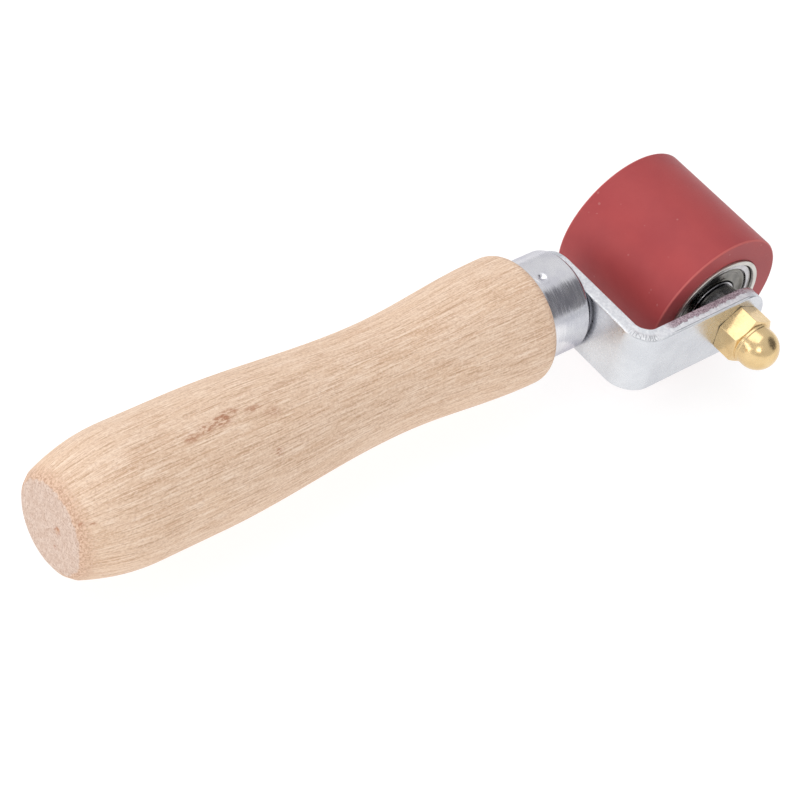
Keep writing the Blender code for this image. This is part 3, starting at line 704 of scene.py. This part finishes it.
# %% Thicken, ease, remember and bend
LAYERS = 6
BLADE_SIDE_EASE = 0.42 * MM
TORN_SIDE_EASE = 0.22 * MM
BEND_PINCH = 0.16 * MM


def on_outline(edge):
    """True for an edge of the strip's outline, and not of a hole."""
    hole_reach = AXLE_HOLE + 0.3 * MM
    for vert in edge.verts:
        for hole in (0.0, axle_along):
            if math.hypot(vert.co.x - hole, vert.co.y) < hole_reach:
                return False
    return True


def thicken(shape):
    grown = bmesh.ops.extrude_face_region(shape, geom=shape.faces[:])["geom"]
    bmesh.ops.translate(shape, verts=new_points(grown), vec=(0.0, 0.0, STRIP_THICKNESS))
    bmesh.ops.recalc_face_normals(shape, faces=shape.faces[:])
    for depth, ease, steps in ((0.0, BLADE_SIDE_EASE, 4), (STRIP_THICKNESS, TORN_SIDE_EASE, 3)):
        rim = [edge for edge in shape.edges if edge.calc_face_angle(0.0) > 1.0 and on_outline(edge)
               and all(abs(vert.co.z - depth) < TOUCHING for vert in edge.verts)]
        bmesh.ops.bevel(shape, geom=rim, offset=ease, offset_type="OFFSET", segments=steps, profile=0.5,
                        affect="EDGES", material=-1)
    for step in range(1, LAYERS):
        slice_at(shape, (0, 0, STRIP_THICKNESS * step / LAYERS), (0, 0, 1))


def remember(shape):
    layer = shape.verts.layers.float_vector.new("blank")
    for vert in shape.verts:
        vert[layer] = vert.co


def bend(shape):
    """Wrap the flat blank round the bend: the base stands at right angles to the arm."""
    for vert in shape.verts:
        along, across, depth = vert.co
        turn = min(max((along - base_run) / bend_middle, 0.0), math.pi / 2)
        squeeze = math.sin(2 * turn) * (depth / STRIP_THICKNESS - 0.5) * 2 * BEND_PINCH
        across *= 1 + squeeze / strip_half
        if along <= base_run:
            place = Vector((depth, -along, across))
        elif turn < math.pi / 2:
            place = bend_centre + Vector((-math.cos(turn), -math.sin(turn), 0.0)) * (bend_outer - depth)
            place.z = across
        else:
            place = Vector((bend_centre.x + along - base_run - bend_run, ARM_Y - HEAD.y + depth, across))
        vert.co = HEAD + place
    shape.normal_update()
    bmesh.ops.recalc_face_normals(shape, faces=shape.faces[:])


thicken(blank)
remember(blank)
bend(blank)
print("bent bracket points:", len(blank.verts))

# %% [markdown]
# ## Satin zinc finish
# Plated strip is bright but not polished: soft clouds in the plating, and edges that tell how it was cut. The
# side that the blade entered has a smooth sheared band, with a painted dark line below it: a painted
# reflection that stands in for the dark line in the eased edge. Past that the metal tore, and the torn band
# is coarse and reads pink and grey. Round the bend the edge is stretched and shows small bright creases. The
# attribute blank says where on the strip a point is, so each band is a range of it.

# %% Find the bands of the strip
BLADE_SIDE_LIMIT = 1.9 * MM
satin_zinc, tree, shader = new_finish("satin_zinc_strip", (0.78, 0.79, 0.81), 0.4, metallic=1.0)
shader.inputs["Specular Tint"].default_value = (0.75, 0.75, 0.78, 1.0)
sheet = add(tree, "ShaderNodeAttribute", {}, attribute_name="blank")
sheet_place = sheet.node.outputs["Vector"]
along, across, depth = split(tree, sheet_place)
edge_side = remap(tree, math_node(tree, "ABSOLUTE", across), strip_half - 0.20 * MM, strip_half - 0.06 * MM)
clouds = cloud(tree, object_place(tree, HEAD), 150.0, detail=5.0, roughness=0.6)
fine = cloud(tree, object_place(tree, HEAD), 1500.0, detail=3.0)
torn_grain = cloud(tree, sheet_place, 4000.0, detail=4.0, roughness=0.7)
torn_limit = remap(tree, cloud(tree, sheet_place, 900.0, detail=2.0), 0.3, 0.7, -0.25 * MM, 0.25 * MM)
torn_depth = plus(tree, depth, torn_limit)
torn = remap(tree, torn_depth, 1.55 * MM, 1.75 * MM)
bend_end = base_run + bend_run
past_bend = remap(tree, along, bend_end + 1.5 * MM, bend_end + 4.5 * MM)
torn = times(tree, times(tree, torn, past_bend), edge_side)
crease_place = add(tree, "ShaderNodeMapping", {"Vector": sheet_place, "Scale": (1.0, 1.0, 0.12)})
creases = cloud(tree, crease_place, 4600.0, detail=2.0)
bend_zone = times(tree, remap(tree, along, base_run, base_run + 0.25 * bend_run),
                  remap(tree, along, bend_end, base_run + 0.75 * bend_run))
bend_zone = times(tree, bend_zone, edge_side)
bend_zone = times(tree, bend_zone, remap(tree, depth, BLADE_SIDE_LIMIT, 1.2 * MM))
shaded = times(tree, remap(tree, along, base_run * 0.72, base_run * 0.20),
               remap(tree, depth, 0.2 * MM, 0.05 * MM))
# painted reflection: a thin dark band on the edge face, just past the eased corner
edge_reflection_line = times(tree, remap(tree, depth, 0.30 * MM, 0.42 * MM), remap(tree, depth, 0.62 * MM, 0.50 * MM))
edge_reflection_line = times(tree, times(tree, edge_reflection_line, past_bend), edge_side)
print("nodes for the bands:", len(tree.nodes))

# %% Colour the bands
PLATED_LIGHT = (0.735, 0.75, 0.775)
PLATED_GREY = (0.665, 0.68, 0.71)
TORN_DARK = (0.30, 0.20, 0.24)
TORN_PINK = (0.72, 0.60, 0.65)
SHEARED_LIGHT = (0.90, 0.91, 0.92)
SHEARED_GREY = (0.72, 0.735, 0.76)
CREASE_DARK = (0.42, 0.43, 0.45)
CREASE_BRIGHT = (0.97, 0.97, 0.98)
JOINT_SHADE = (0.40, 0.39, 0.41)
# colour of the painted dark reflection line along the eased edge
EDGE_REFLECTION_DARK = (0.26, 0.27, 0.29)
zinc_tone = mix_colour(tree, remap(tree, clouds, 0.35, 0.7), PLATED_LIGHT, PLATED_GREY)
torn_tone = mix_colour(tree, remap(tree, torn_grain, 0.4, 0.6), TORN_DARK, TORN_PINK)
rim_tone = mix_colour(tree, remap(tree, fine, 0.35, 0.65), SHEARED_LIGHT, SHEARED_GREY)
crease_tone = mix_colour(tree, remap(tree, creases, 0.44, 0.56), CREASE_DARK, CREASE_BRIGHT)
zinc_tone = mix_colour(tree, times(tree, shaded, 0.75), zinc_tone, JOINT_SHADE)
zinc_tone = mix_colour(tree, times(tree, edge_side, 0.8), zinc_tone, rim_tone)
zinc_tone = mix_colour(tree, times(tree, bend_zone, 0.7), zinc_tone, crease_tone)
zinc_tone = mix_colour(tree, torn, zinc_tone, torn_tone)
zinc_tone = mix_colour(tree, times(tree, edge_reflection_line, 0.75), zinc_tone, EDGE_REFLECTION_DARK)
rough = plus(tree, remap(tree, fine, 0.3, 0.7, 0.25, 0.35), times(tree, edge_side, 0.30))
metal = remap(tree, edge_side, 0.0, 1.0, 1.0, 0.45)
relief = bump(tree, fine, 0.003 * MM, 0.5)
relief = bump(tree, times(tree, torn_grain, torn), 0.35 * MM, 1.0, relief)
relief = bump(tree, times(tree, creases, bend_zone), 0.25 * MM, 1.0, relief)
wire(tree, shader, Base_Color=zinc_tone, Roughness=rough, Metallic=metal, Normal=relief)
make_piece("bent_bracket", blank, satin_zinc, "frame", ["bracket"])

# %% [markdown]
# ## Rivet
# The tang that goes down the handle ends in a head hammered over the bracket's base. A riveter leaves a low
# dome with a slightly flattened crown, which is easy to draw as an outline and spin.

# %% Turn the rivet and its tang
rivet_zinc, tree, shader = new_finish("hammered_zinc", (0.60, 0.61, 0.63), 0.38, metallic=1.0)
dents = cloud(tree, object_place(tree, HEAD), 700.0, detail=2.0)
wire(tree, shader, Roughness=remap(tree, dents, 0.3, 0.7, 0.28, 0.48),
     Normal=bump(tree, dents, 0.12 * MM, 0.6),
     Base_Color=mix_colour(tree, remap(tree, dents, 0.35, 0.65), (0.66, 0.67, 0.69), (0.52, 0.53, 0.56)))
rivet_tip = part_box("tang_rivet")[0].x - HEAD.x
rivet_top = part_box("tang_rivet")[1].x - HEAD.x
rivet_radius = half_size("tang_rivet").y
rivet_seat = STRIP_THICKNESS + GAP
rivet_rise = rivet_top - rivet_seat
tang_radius = 3.0 * MM
outline = [(0.0, rivet_top), (0.34 * rivet_radius, rivet_top, 0.5 * MM),
           (0.80 * rivet_radius, rivet_seat + 0.72 * rivet_rise, 1.2 * MM),
           (rivet_radius, rivet_seat + 0.30 * rivet_rise, 0.5 * MM), (rivet_radius, rivet_seat, 0.2 * MM),
           (tang_radius, rivet_seat), (tang_radius, rivet_tip + 1.5 * MM), (0.5 * tang_radius, rivet_tip),
           (0.0, rivet_tip)]
turned_piece("riveted_tang", outline, 96, rivet_zinc, ["tang_rivet"], ALONG_X, HEAD)

# %% [markdown]
# ## Silicone sleeve
# The working surface is a thick sleeve of red silicone, cast on the hub and ground true. Rubber of this kind
# is matt with a faint sheen where it turns away, it collects pale dust, and its ends are cut square with a
# barely broken edge. That edge carries a painted highlight in a paler red. The section is a rectangle with
# two eased corners.

# %% Make the silicone finish
RED = (0.405, 0.056, 0.056)
DEEP_RED = (0.360, 0.047, 0.050)
DUST = (0.75, 0.50, 0.45)
# paler red for the painted highlight on the ends' broken edges
HIGHLIGHT_RED = (0.66, 0.17, 0.15)
red_silicone, tree, shader = new_finish("red_silicone", (0.42, 0.06, 0.06), 0.55, specular=0.32)
shader.inputs["Sheen Weight"].default_value = 0.10
shader.inputs["Sheen Roughness"].default_value = 0.45
shader.inputs["Sheen Tint"].default_value = (1.0, 0.72, 0.74, 1.0)
roller_middle = centre_of("silicone_sleeve")
sleeve_radius = half_size("silicone_sleeve").x
sleeve_half = half_size("silicone_sleeve").y
haze = cloud(tree, object_place(tree, roller_middle), 90.0, detail=3.0)
ground = cloud(tree, object_place(tree, roller_middle), 4200.0, detail=2.0)
dust = add(tree, "ShaderNodeTexVoronoi", {"Vector": object_place(tree, roller_middle), "Scale": 420.0,
                                          "Randomness": 1.0})
dust_pick = cloud(tree, object_place(tree, roller_middle), 260.0, detail=0.0)
dust_spots = times(tree, remap(tree, dust, 0.16, 0.08), remap(tree, dust_pick, 0.60, 0.66))
red = mix_colour(tree, remap(tree, haze, 0.3, 0.7), RED, DEEP_RED)
red = mix_colour(tree, times(tree, dust_spots, 0.15), red, DUST)
from_middle = math_node(tree, "ABSOLUTE", split(tree, object_place(tree, roller_middle))["Y"])
from_axle = length_of(tree, object_place(tree, roller_middle, (1.0, 0.0, 1.0)))
# painted highlight: the red is made paler along the broken edges of both ends
edge_highlight = times(tree, remap(tree, from_middle, sleeve_half - 0.45 * MM, sleeve_half - 0.25 * MM),
                  remap(tree, from_axle, sleeve_radius - 0.45 * MM, sleeve_radius - 0.25 * MM))
red = mix_colour(tree, times(tree, edge_highlight, 0.55), red, HIGHLIGHT_RED)
wire(tree, shader, Base_Color=red, Roughness=remap(tree, ground, 0.3, 0.7, 0.46, 0.60),
     Normal=bump(tree, ground, 0.010 * MM, 0.5))
print("silicone nodes:", len(tree.nodes))

# %% Spin the sleeve
SLEEVE_STEPS = 256
hub_radius = half_size("hub").x
hub_half = half_size("hub").y
sleeve_bore = hub_radius + 0.05 * MM
outline = [(sleeve_radius, sleeve_half, 0.5 * MM), (sleeve_radius, -sleeve_half, 0.5 * MM),
           (sleeve_bore, -sleeve_half, 0.12 * MM), (sleeve_bore, sleeve_half, 0.12 * MM)]
turned_piece("cast_sleeve", outline, SLEEVE_STEPS, red_silicone, ["silicone_sleeve"], ALONG_Y,
             roller_middle, body="roller", closed=True)

# %% [markdown]
# ## Hub
# Under the silicone is a turned aluminium tube. Only its two end rims show, standing half a millimetre out of
# the rubber, but it carries both bearings, so its pockets and the step that each bearing rests on are turned
# as well.

# %% Turn the hub
hub_aluminium, tree, shader = new_finish("turned_aluminium", (0.62, 0.60, 0.56), 0.36, metallic=1.0)
tool_marks = cloud(tree, object_place(tree, roller_middle, (0.05, 1.0, 0.05)), 3800.0, detail=2.0)
wire(tree, shader, Roughness=remap(tree, tool_marks, 0.3, 0.7, 0.28, 0.44),
     Base_Color=mix_colour(tree, tool_marks, (0.70, 0.68, 0.63), (0.52, 0.50, 0.46)),
     Normal=bump(tree, tool_marks, 0.02 * MM, 0.5))
pocket_radius = 11.2 * MM
shoulder_radius = 9.8 * MM
pocket_depth = 8.0 * MM
rim_ease = 0.18 * MM
outline = [(hub_radius, hub_half, rim_ease), (hub_radius, -hub_half, rim_ease),
           (pocket_radius, -hub_half, rim_ease), (pocket_radius, pocket_depth - hub_half),
           (shoulder_radius, pocket_depth - hub_half, rim_ease),
           (shoulder_radius, hub_half - pocket_depth, rim_ease),
           (pocket_radius, hub_half - pocket_depth), (pocket_radius, hub_half, rim_ease)]
turned_piece("turned_hub", outline, 160, hub_aluminium, ["hub"], ALONG_Y, centre_of("hub"),
             body="roller", closed=True)

# %% [markdown]
# ## Bearings
# Each end of the hub holds a shielded ball bearing: two grooved rings, seven balls in a cage, and a thin
# pressed shield on each side. The same outlines serve both bearings, so they are drawn once, from the
# bearing's middle, in a function that is called for the near and the far one. The shields are the part that
# shows: their rims are rolled into a groove, and they step down towards the inner ring.

# %% Make the bearing finishes
def ring_finish(name, light, dark, low, high, mark_scale):
    """Turned and polished steel, with fine marks that run round the axle."""
    finish, tree, shader = new_finish(name, light, low, metallic=1.0)
    marks = cloud(tree, object_place(tree, AXLE_LINE, (0.6, 0.2, 0.6)), mark_scale, detail=3.0)
    smears = cloud(tree, object_place(tree, AXLE_LINE), 320.0, detail=3.0)
    wire(tree, shader, Roughness=remap(tree, marks, 0.3, 0.7, low, high),
         Base_Color=mix_colour(tree, remap(tree, smears, 0.3, 0.7), light, dark),
         Normal=bump(tree, marks, 0.008 * MM, 0.4))
    return finish


bearing_steel = ring_finish("ground_bearing_steel", (0.55, 0.54, 0.55), (0.42, 0.41, 0.43),
                            0.16, 0.30, 3000.0)
# painted shade: the shields' steel is made very dark, standing in for the shade and dark reflections inside
# the hub's pocket
shaded_shield_steel = ring_finish("pressed_shield_steel", (0.20, 0.19, 0.17), (0.11, 0.105, 0.095),
                           0.10, 0.20, 1800.0)
cage_steel = ring_finish("stamped_cage_steel", (0.55, 0.50, 0.42), (0.42, 0.38, 0.32), 0.30, 0.45, 2400.0)
ball_steel = ring_finish("lapped_ball_steel", (0.80, 0.80, 0.81), (0.72, 0.72, 0.74), 0.05, 0.10, 1500.0)
spacer_steel = ring_finish("spacer_steel", (0.42, 0.41, 0.41), (0.30, 0.30, 0.31), 0.20, 0.32, 3200.0)
axle_zinc = ring_finish("axle_zinc", (0.70, 0.70, 0.72), (0.58, 0.58, 0.61), 0.22, 0.36, 2600.0)
print("steel finishes made")

# %% Turn both bearings
BALL_COUNT = 7
BALL_RADIUS = 1.9845 * MM
PITCH_RADIUS = 7.5 * MM
RACE_SHOULDER = 1.45 * MM
RING_BORE = 4.0 * MM
SHIELD_SEAT = 9.7 * MM


def groove_arc(facing, steps=10):
    """Points of one raceway, round the balls' centre; facing is 1 for the outer ring, -1 for the inner."""
    radius = BALL_RADIUS + 0.10 * MM
    reach = math.acos(RACE_SHOULDER / radius)
    points = []
    for step in range(steps + 1):
        angle = reach - 2 * reach * step / steps
        points.append((PITCH_RADIUS + facing * radius * math.cos(angle), radius * math.sin(angle)))
    return points


def make_bearing(side):
    inner_node = f"{side}_inner_ring"
    outer_node = f"{side}_outer_ring"
    middle = centre_of(inner_node)
    half = half_size(inner_node).y
    outer = half_size(outer_node).x
    ease = 0.3 * MM
    shoulder = PITCH_RADIUS - RACE_SHOULDER
    outline = groove_arc(-1)
    outline += [(shoulder, -half, 0.15 * MM), (RING_BORE, -half, ease)]
    outline += [(RING_BORE, half, ease), (shoulder, half, 0.15 * MM)]
    turned_piece(f"{side}_ground_inner_ring", outline, 128, bearing_steel, [inner_node],
                 ALONG_Y, middle, closed=True, corner_steps=3)
    shoulder = PITCH_RADIUS + RACE_SHOULDER
    step_height = half - 0.8 * MM
    outline = [(outer, half, ease), (outer, -half, ease)]
    outline += [(SHIELD_SEAT, -half, 0.12 * MM), (SHIELD_SEAT, -step_height)]
    outline += [(shoulder, -step_height)] + groove_arc(1)[::-1] + [(shoulder, step_height)]
    outline += [(SHIELD_SEAT, step_height), (SHIELD_SEAT, half, 0.12 * MM)]
    turned_piece(f"{side}_ground_outer_ring", outline, 160, bearing_steel, [outer_node],
                 ALONG_Y, middle, body="roller", closed=True, corner_steps=3)
    for end, facing in (("left", -1), ("right", 1)):
        make_shield(f"{side}_{end}_shield", middle, half, facing)


def make_shield(node, middle, half, facing):
    """A thin pressed disc, rolled at its rim and stepped down towards the shaft."""
    wall = 0.28 * MM
    top = half - 0.22 * MM
    lip = 6.35 * MM
    rim = SHIELD_SEAT - 0.12 * MM
    upper = [(rim, top - 0.25 * MM, 0.15 * MM), (rim - 0.35 * MM, top, 0.2 * MM), (8.75 * MM, top, 0.15 * MM),
             (8.35 * MM, top - 0.32 * MM, 0.2 * MM), (lip + 0.35 * MM, top - 0.32 * MM, 0.2 * MM),
             (lip, top - 0.12 * MM)]
    lower = [(point[0], point[1] - wall) for point in reversed(upper)]
    outline = [(point[0], facing * point[1], *point[2:]) for point in upper + lower]
    turned_piece(f"pressed_{node}", outline, 128, shaded_shield_steel, [node], ALONG_Y, middle,
                 body="roller", closed=True, corner_steps=4)


make_bearing("near")
make_bearing("far")

# %% [markdown]
# ## Balls and cages
# The balls can't be seen past the shields, but a bearing without them would be hollow. A cube that is cut
# finely and pushed out to a sphere gives even faces with no pinched poles. Each cage is a stamped ring, and
# its pockets swell round the balls: a plain ring is spun, and it is made lower between one ball and the next.

# %% Form the balls and the cages
BALL_CUTS = 7
CAGE_ROWS = 12
CAGE_STEPS_PER_BALL = 24
CAGE_BAR_SHARE = 0.42  # height between the pockets, as a share of the height beside a ball


def make_balls(side, body):
    for number in range(1, BALL_COUNT + 1):
        node = f"{side}_ball_{number}"
        shape = bmesh.new()
        bmesh.ops.create_cube(shape, size=2 * BALL_RADIUS)
        bmesh.ops.subdivide_edges(shape, edges=shape.edges[:], cuts=BALL_CUTS, use_grid_fill=True)
        for vert in shape.verts:
            vert.co = vert.co.normalized() * BALL_RADIUS
        make_piece(f"lapped_{node}", shape, ball_steel, body, [node], ALONG_Y, centre_of(node))


def make_cage(side, body):
    """Ribbon cage: a ring that is narrow between the balls and as wide as its pockets beside them."""
    node = f"{side}_cage"
    middle = centre_of(node)
    half = half_size(node).y
    outer = half_size(node).x
    inner = outer - 1.5 * MM
    shape = bmesh.new()
    outline = [(outer, half * (1 - 2 * step / CAGE_ROWS)) for step in range(CAGE_ROWS + 1)]
    outline += [(inner, half * (2 * step / CAGE_ROWS - 1)) for step in range(CAGE_ROWS + 1)]
    draw_outline(shape, outline, closed=True)
    spin_full(shape, CAGE_STEPS_PER_BALL * BALL_COUNT)
    ball_at = centre_of(f"{side}_ball_1") - middle
    first = math.atan2(-ball_at.z, ball_at.x)
    for vert in shape.verts:
        angle = math.atan2(vert.co.y, vert.co.x) - first
        nearness = (1 + math.cos(BALL_COUNT * angle)) / 2
        vert.co.z *= CAGE_BAR_SHARE + (1 - CAGE_BAR_SHARE) * nearness ** 0.6
    make_piece(f"stamped_{node}", shape, cage_steel, body, [node], ALONG_Y, middle)


for side in ("near", "far"):
    body = f"{side}_ball_set"
    make_balls(side, body)
    make_cage(side, body)

# %% [markdown]
# ## Axle, spacers and washer
# A shouldered bolt runs through both bearings, the spacers and the bracket's arm. Its head has a hexagon
# socket. The spun outline leaves a round opening in the head, and a hexagon with as many points as the
# opening is bridged to it, so the flat face runs into the socket without a cut.

# %% Turn the axle and the spacers
SOCKET_ACROSS = 4.0 * MM
SOCKET_DEPTH = 1.8 * MM
HEAD_EASE = 0.8 * MM
AXLE_STEPS = 96
SPACER_EASE = 0.2 * MM
axle_low, axle_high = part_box("axle")
axle_origin = Vector((AXLE_LINE.x, 0.0, AXLE_LINE.z))
head_radius = half_size("axle").x
head_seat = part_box("far_washer")[1].y + GAP
shank_radius = 3.8 * MM
shank_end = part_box("near_inner_ring")[0].y + GAP
thread_radius = 3.0 * MM


def wire_hexagon(shape, across_flats, steps, height):
    """A six-sided loop about Z at one height, with each side cut so that it has steps points in all."""
    loop = bmesh.ops.create_circle(shape, cap_ends=False, segments=6, radius=across_flats / math.sqrt(3),
                                   matrix=Matrix.Translation((0, 0, height)))["verts"]
    sides = list({edge for vert in loop for edge in vert.link_edges})
    bmesh.ops.subdivide_edges(shape, edges=sides, cuts=steps // 6 - 1)
    return [edge for edge in shape.edges
            if edge.is_wire and all(abs(vert.co.z - height) < TOUCHING for vert in edge.verts)]


def grow_ring(shape, ring):
    """Extrude a loop of edges, and give the new loop's points and edges."""
    grown = bmesh.ops.extrude_edge_only(shape, edges=ring)["geom"]
    points = new_points(grown)
    loop = [item for item in grown
            if isinstance(item, bmesh.types.BMEdge) and set(points).issuperset(item.verts)]
    return points, loop


def step_ring(shape, ring, radius, height):
    """Extrude a loop of edges onto a circle of that radius and height, and give the new loop."""
    points, loop = grow_ring(shape, ring)
    for vert in points:
        flat = Vector((vert.co.x, vert.co.y, 0.0)).normalized() * radius
        vert.co = (flat.x, flat.y, height)
    return loop


def push_ring(shape, ring, height):
    """Extrude a loop of edges straight to another height, and give the new loop."""
    points, loop = grow_ring(shape, ring)
    for vert in points:
        vert.co.z = height
    return loop


def close_up(shape):
    bmesh.ops.remove_doubles(shape, verts=shape.verts[:], dist=TOUCHING)
    bmesh.ops.recalc_face_normals(shape, faces=shape.faces[:])


def make_axle():
    opening = 2.9 * MM
    top = axle_high.y
    shape = bmesh.new()
    outline = [(opening, top), (head_radius, top, HEAD_EASE), (head_radius, head_seat, 0.15 * MM),
               (shank_radius, head_seat), (shank_radius, shank_end, 0.2 * MM), (thread_radius, shank_end),
               (thread_radius, axle_low.y + 0.6 * MM), (thread_radius - 0.6 * MM, axle_low.y),
               (0.0, axle_low.y)]
    draw_outline(shape, outline, corner_steps=6)
    spin_full(shape, AXLE_STEPS)
    rim = [edge for edge in shape.edges if edge.is_boundary]
    socket = wire_hexagon(shape, SOCKET_ACROSS, AXLE_STEPS, top)
    bmesh.ops.bridge_loops(shape, edges=rim + socket)
    floor_ring = push_ring(shape, socket, top - SOCKET_DEPTH)
    step_ring(shape, floor_ring, 0.0, top - SOCKET_DEPTH - 0.5 * MM)
    close_up(shape)
    make_piece("shouldered_axle", shape, axle_zinc, "frame", ["axle"], ALONG_Y, axle_origin)


def make_spacer(node, name, bore):
    outer = half_size(node).x
    near, far = (corner.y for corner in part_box(node))
    outline = [(outer, far, SPACER_EASE), (outer, near, SPACER_EASE)]
    outline += [(bore, near, SPACER_EASE), (bore, far, SPACER_EASE)]
    turned_piece(name, outline, AXLE_STEPS, spacer_steel, [node], ALONG_Y, axle_origin,
                 closed=True, corner_steps=3)


make_axle()
make_spacer("near_spacer", "near_turned_spacer", AXLE_HOLE)
make_spacer("distance_tube", "turned_distance_tube", 4.1 * MM)
make_spacer("far_washer", "far_flat_washer", 4.1 * MM)

# %% [markdown]
# ## Brass cap nut
# The cap nut is machined from hexagon bar: both ends of the hexagon are chamfered by a cone, a narrow collar
# follows, and the dome is polished. A loop of edges starts as the hexagon and is extruded ring by ring: up
# the flats, in over the chamfer, round the collar, and over the dome. The cone is put on by moving each point
# of the end rings back by how far it lies outside the flats, which leaves the curved edge of a real nut.

# %% Make the brass finish
BRASS_LIGHT = (0.82, 0.610, 0.325)
BRASS_DEEP = (0.72, 0.510, 0.255)
brass, tree, shader = new_finish("polished_brass", (0.74, 0.59, 0.34), 0.22, metallic=1.0)
nut_middle = centre_of("cap_nut")
brass_clouds = cloud(tree, object_place(tree, nut_middle), 260.0, detail=3.0)
brass_grain = cloud(tree, object_place(tree, nut_middle, (1.0, 0.35, 1.0)), 3600.0, detail=2.0)
polish = cloud(tree, object_place(tree, nut_middle), 420.0, detail=2.0)
wire(tree, shader, Roughness=remap(tree, brass_grain, 0.3, 0.7, 0.17, 0.30),
     Base_Color=mix_colour(tree, remap(tree, brass_clouds, 0.3, 0.7), BRASS_LIGHT, BRASS_DEEP),
     Normal=bump(tree, brass_grain, 0.004 * MM, 0.5, bump(tree, polish, 0.08 * MM, 0.8)))
print("brass nodes:", len(tree.nodes))

# %% Machine the cap nut
NUT_ACROSS = 10.5 * MM
NUT_HEX_HEIGHT = 5.0 * MM
NUT_THREAD_DEPTH = 8.5 * MM
NUT_DOME_RADIUS = 4.65 * MM
NUT_CORNER_TURN = math.radians(5.0)
NUT_STEPS = 144
NUT_LEVELS = 6
DOME_STEPS = 28
NUT_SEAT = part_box("cap_nut")[1].y - ARM_Y + 0.02 * MM
CHAMFER_SLOPE = math.tan(math.radians(30.0))
SEAT_CHAMFER_SLOPE = 0.25 * CHAMFER_SLOPE
nut_height = 2 * half_size("cap_nut").y


def chamfer_ring(shape, ring, seat, slope):
    """Move a hexagon's end ring back along a cone that starts just inside the flats."""
    start = NUT_ACROSS / 2 - 0.12 * MM
    for vert in {vert for edge in ring for vert in edge.verts}:
        radius = math.hypot(vert.co.x, vert.co.y)
        vert.co.z = seat + slope * (radius - start)


def make_cap_nut():
    """Heights grow away from the arm; the finished shape is turned over so that they run along -Y."""
    shape = bmesh.new()
    base = wire_hexagon(shape, NUT_ACROSS, NUT_STEPS, NUT_SEAT)
    walls = base
    for step in range(1, NUT_LEVELS + 1):
        walls = push_ring(shape, walls, NUT_HEX_HEIGHT * step / NUT_LEVELS)
    chamfer_ring(shape, base, NUT_SEAT, SEAT_CHAMFER_SLOPE)
    chamfer_ring(shape, walls, NUT_HEX_HEIGHT, -CHAMFER_SLOPE)
    inside = NUT_ACROSS / 2 - 0.15 * MM
    ring = step_ring(shape, walls, inside, NUT_HEX_HEIGHT)
    collar = NUT_DOME_RADIUS + 0.22 * MM
    for radius, rise in ((collar + 0.12 * MM, 0.0), (collar, 0.10 * MM), (collar, 0.50 * MM),
                         (collar - 0.08 * MM, 0.60 * MM), (NUT_DOME_RADIUS, 0.70 * MM)):
        ring = step_ring(shape, ring, radius, NUT_HEX_HEIGHT + rise)
    dome_centre = nut_height - NUT_DOME_RADIUS
    ring = step_ring(shape, ring, NUT_DOME_RADIUS, dome_centre)
    for step in range(1, DOME_STEPS + 1):
        angle = math.pi / 2 * step / DOME_STEPS
        radius = NUT_DOME_RADIUS * math.cos(angle) if step < DOME_STEPS else 0.0
        ring = step_ring(shape, ring, radius, dome_centre + NUT_DOME_RADIUS * math.sin(angle))
    ring = step_ring(shape, base, inside, NUT_SEAT)
    for radius, level in ((AXLE_HOLE + 0.3 * MM, NUT_SEAT), (AXLE_HOLE, 0.3 * MM),
                          (AXLE_HOLE, NUT_THREAD_DEPTH), (0.0, NUT_THREAD_DEPTH + 0.9 * MM)):
        ring = step_ring(shape, ring, radius, level)
    close_up(shape)
    corners = [edge for edge in shape.edges if edge.calc_face_angle(0.0) > 0.8
               and all(math.hypot(vert.co.x, vert.co.y) > NUT_ACROSS / math.sqrt(3) - 0.02 * MM
                       for vert in edge.verts)]
    bmesh.ops.bevel(shape, geom=corners, offset=0.10 * MM, offset_type="OFFSET", segments=3, profile=0.5,
                    affect="EDGES", material=-1)
    turn = Matrix.Rotation(math.radians(90.0), 4, "X") @ Matrix.Rotation(NUT_CORNER_TURN, 4, "Z")
    origin = Vector((AXLE_LINE.x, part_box("cap_nut")[1].y, AXLE_LINE.z))
    make_piece("domed_cap_nut", shape, brass, "frame", ["cap_nut"], turn, origin)


make_cap_nut()

# %% [markdown]
# ## Print the working model's size
# The visual model has to stay as large as the working one, so the working model's box is printed.

# %% Finish
print("CAD box (mm):", [[round(value / MM, 2) for value in corner] for corner in cad_box])
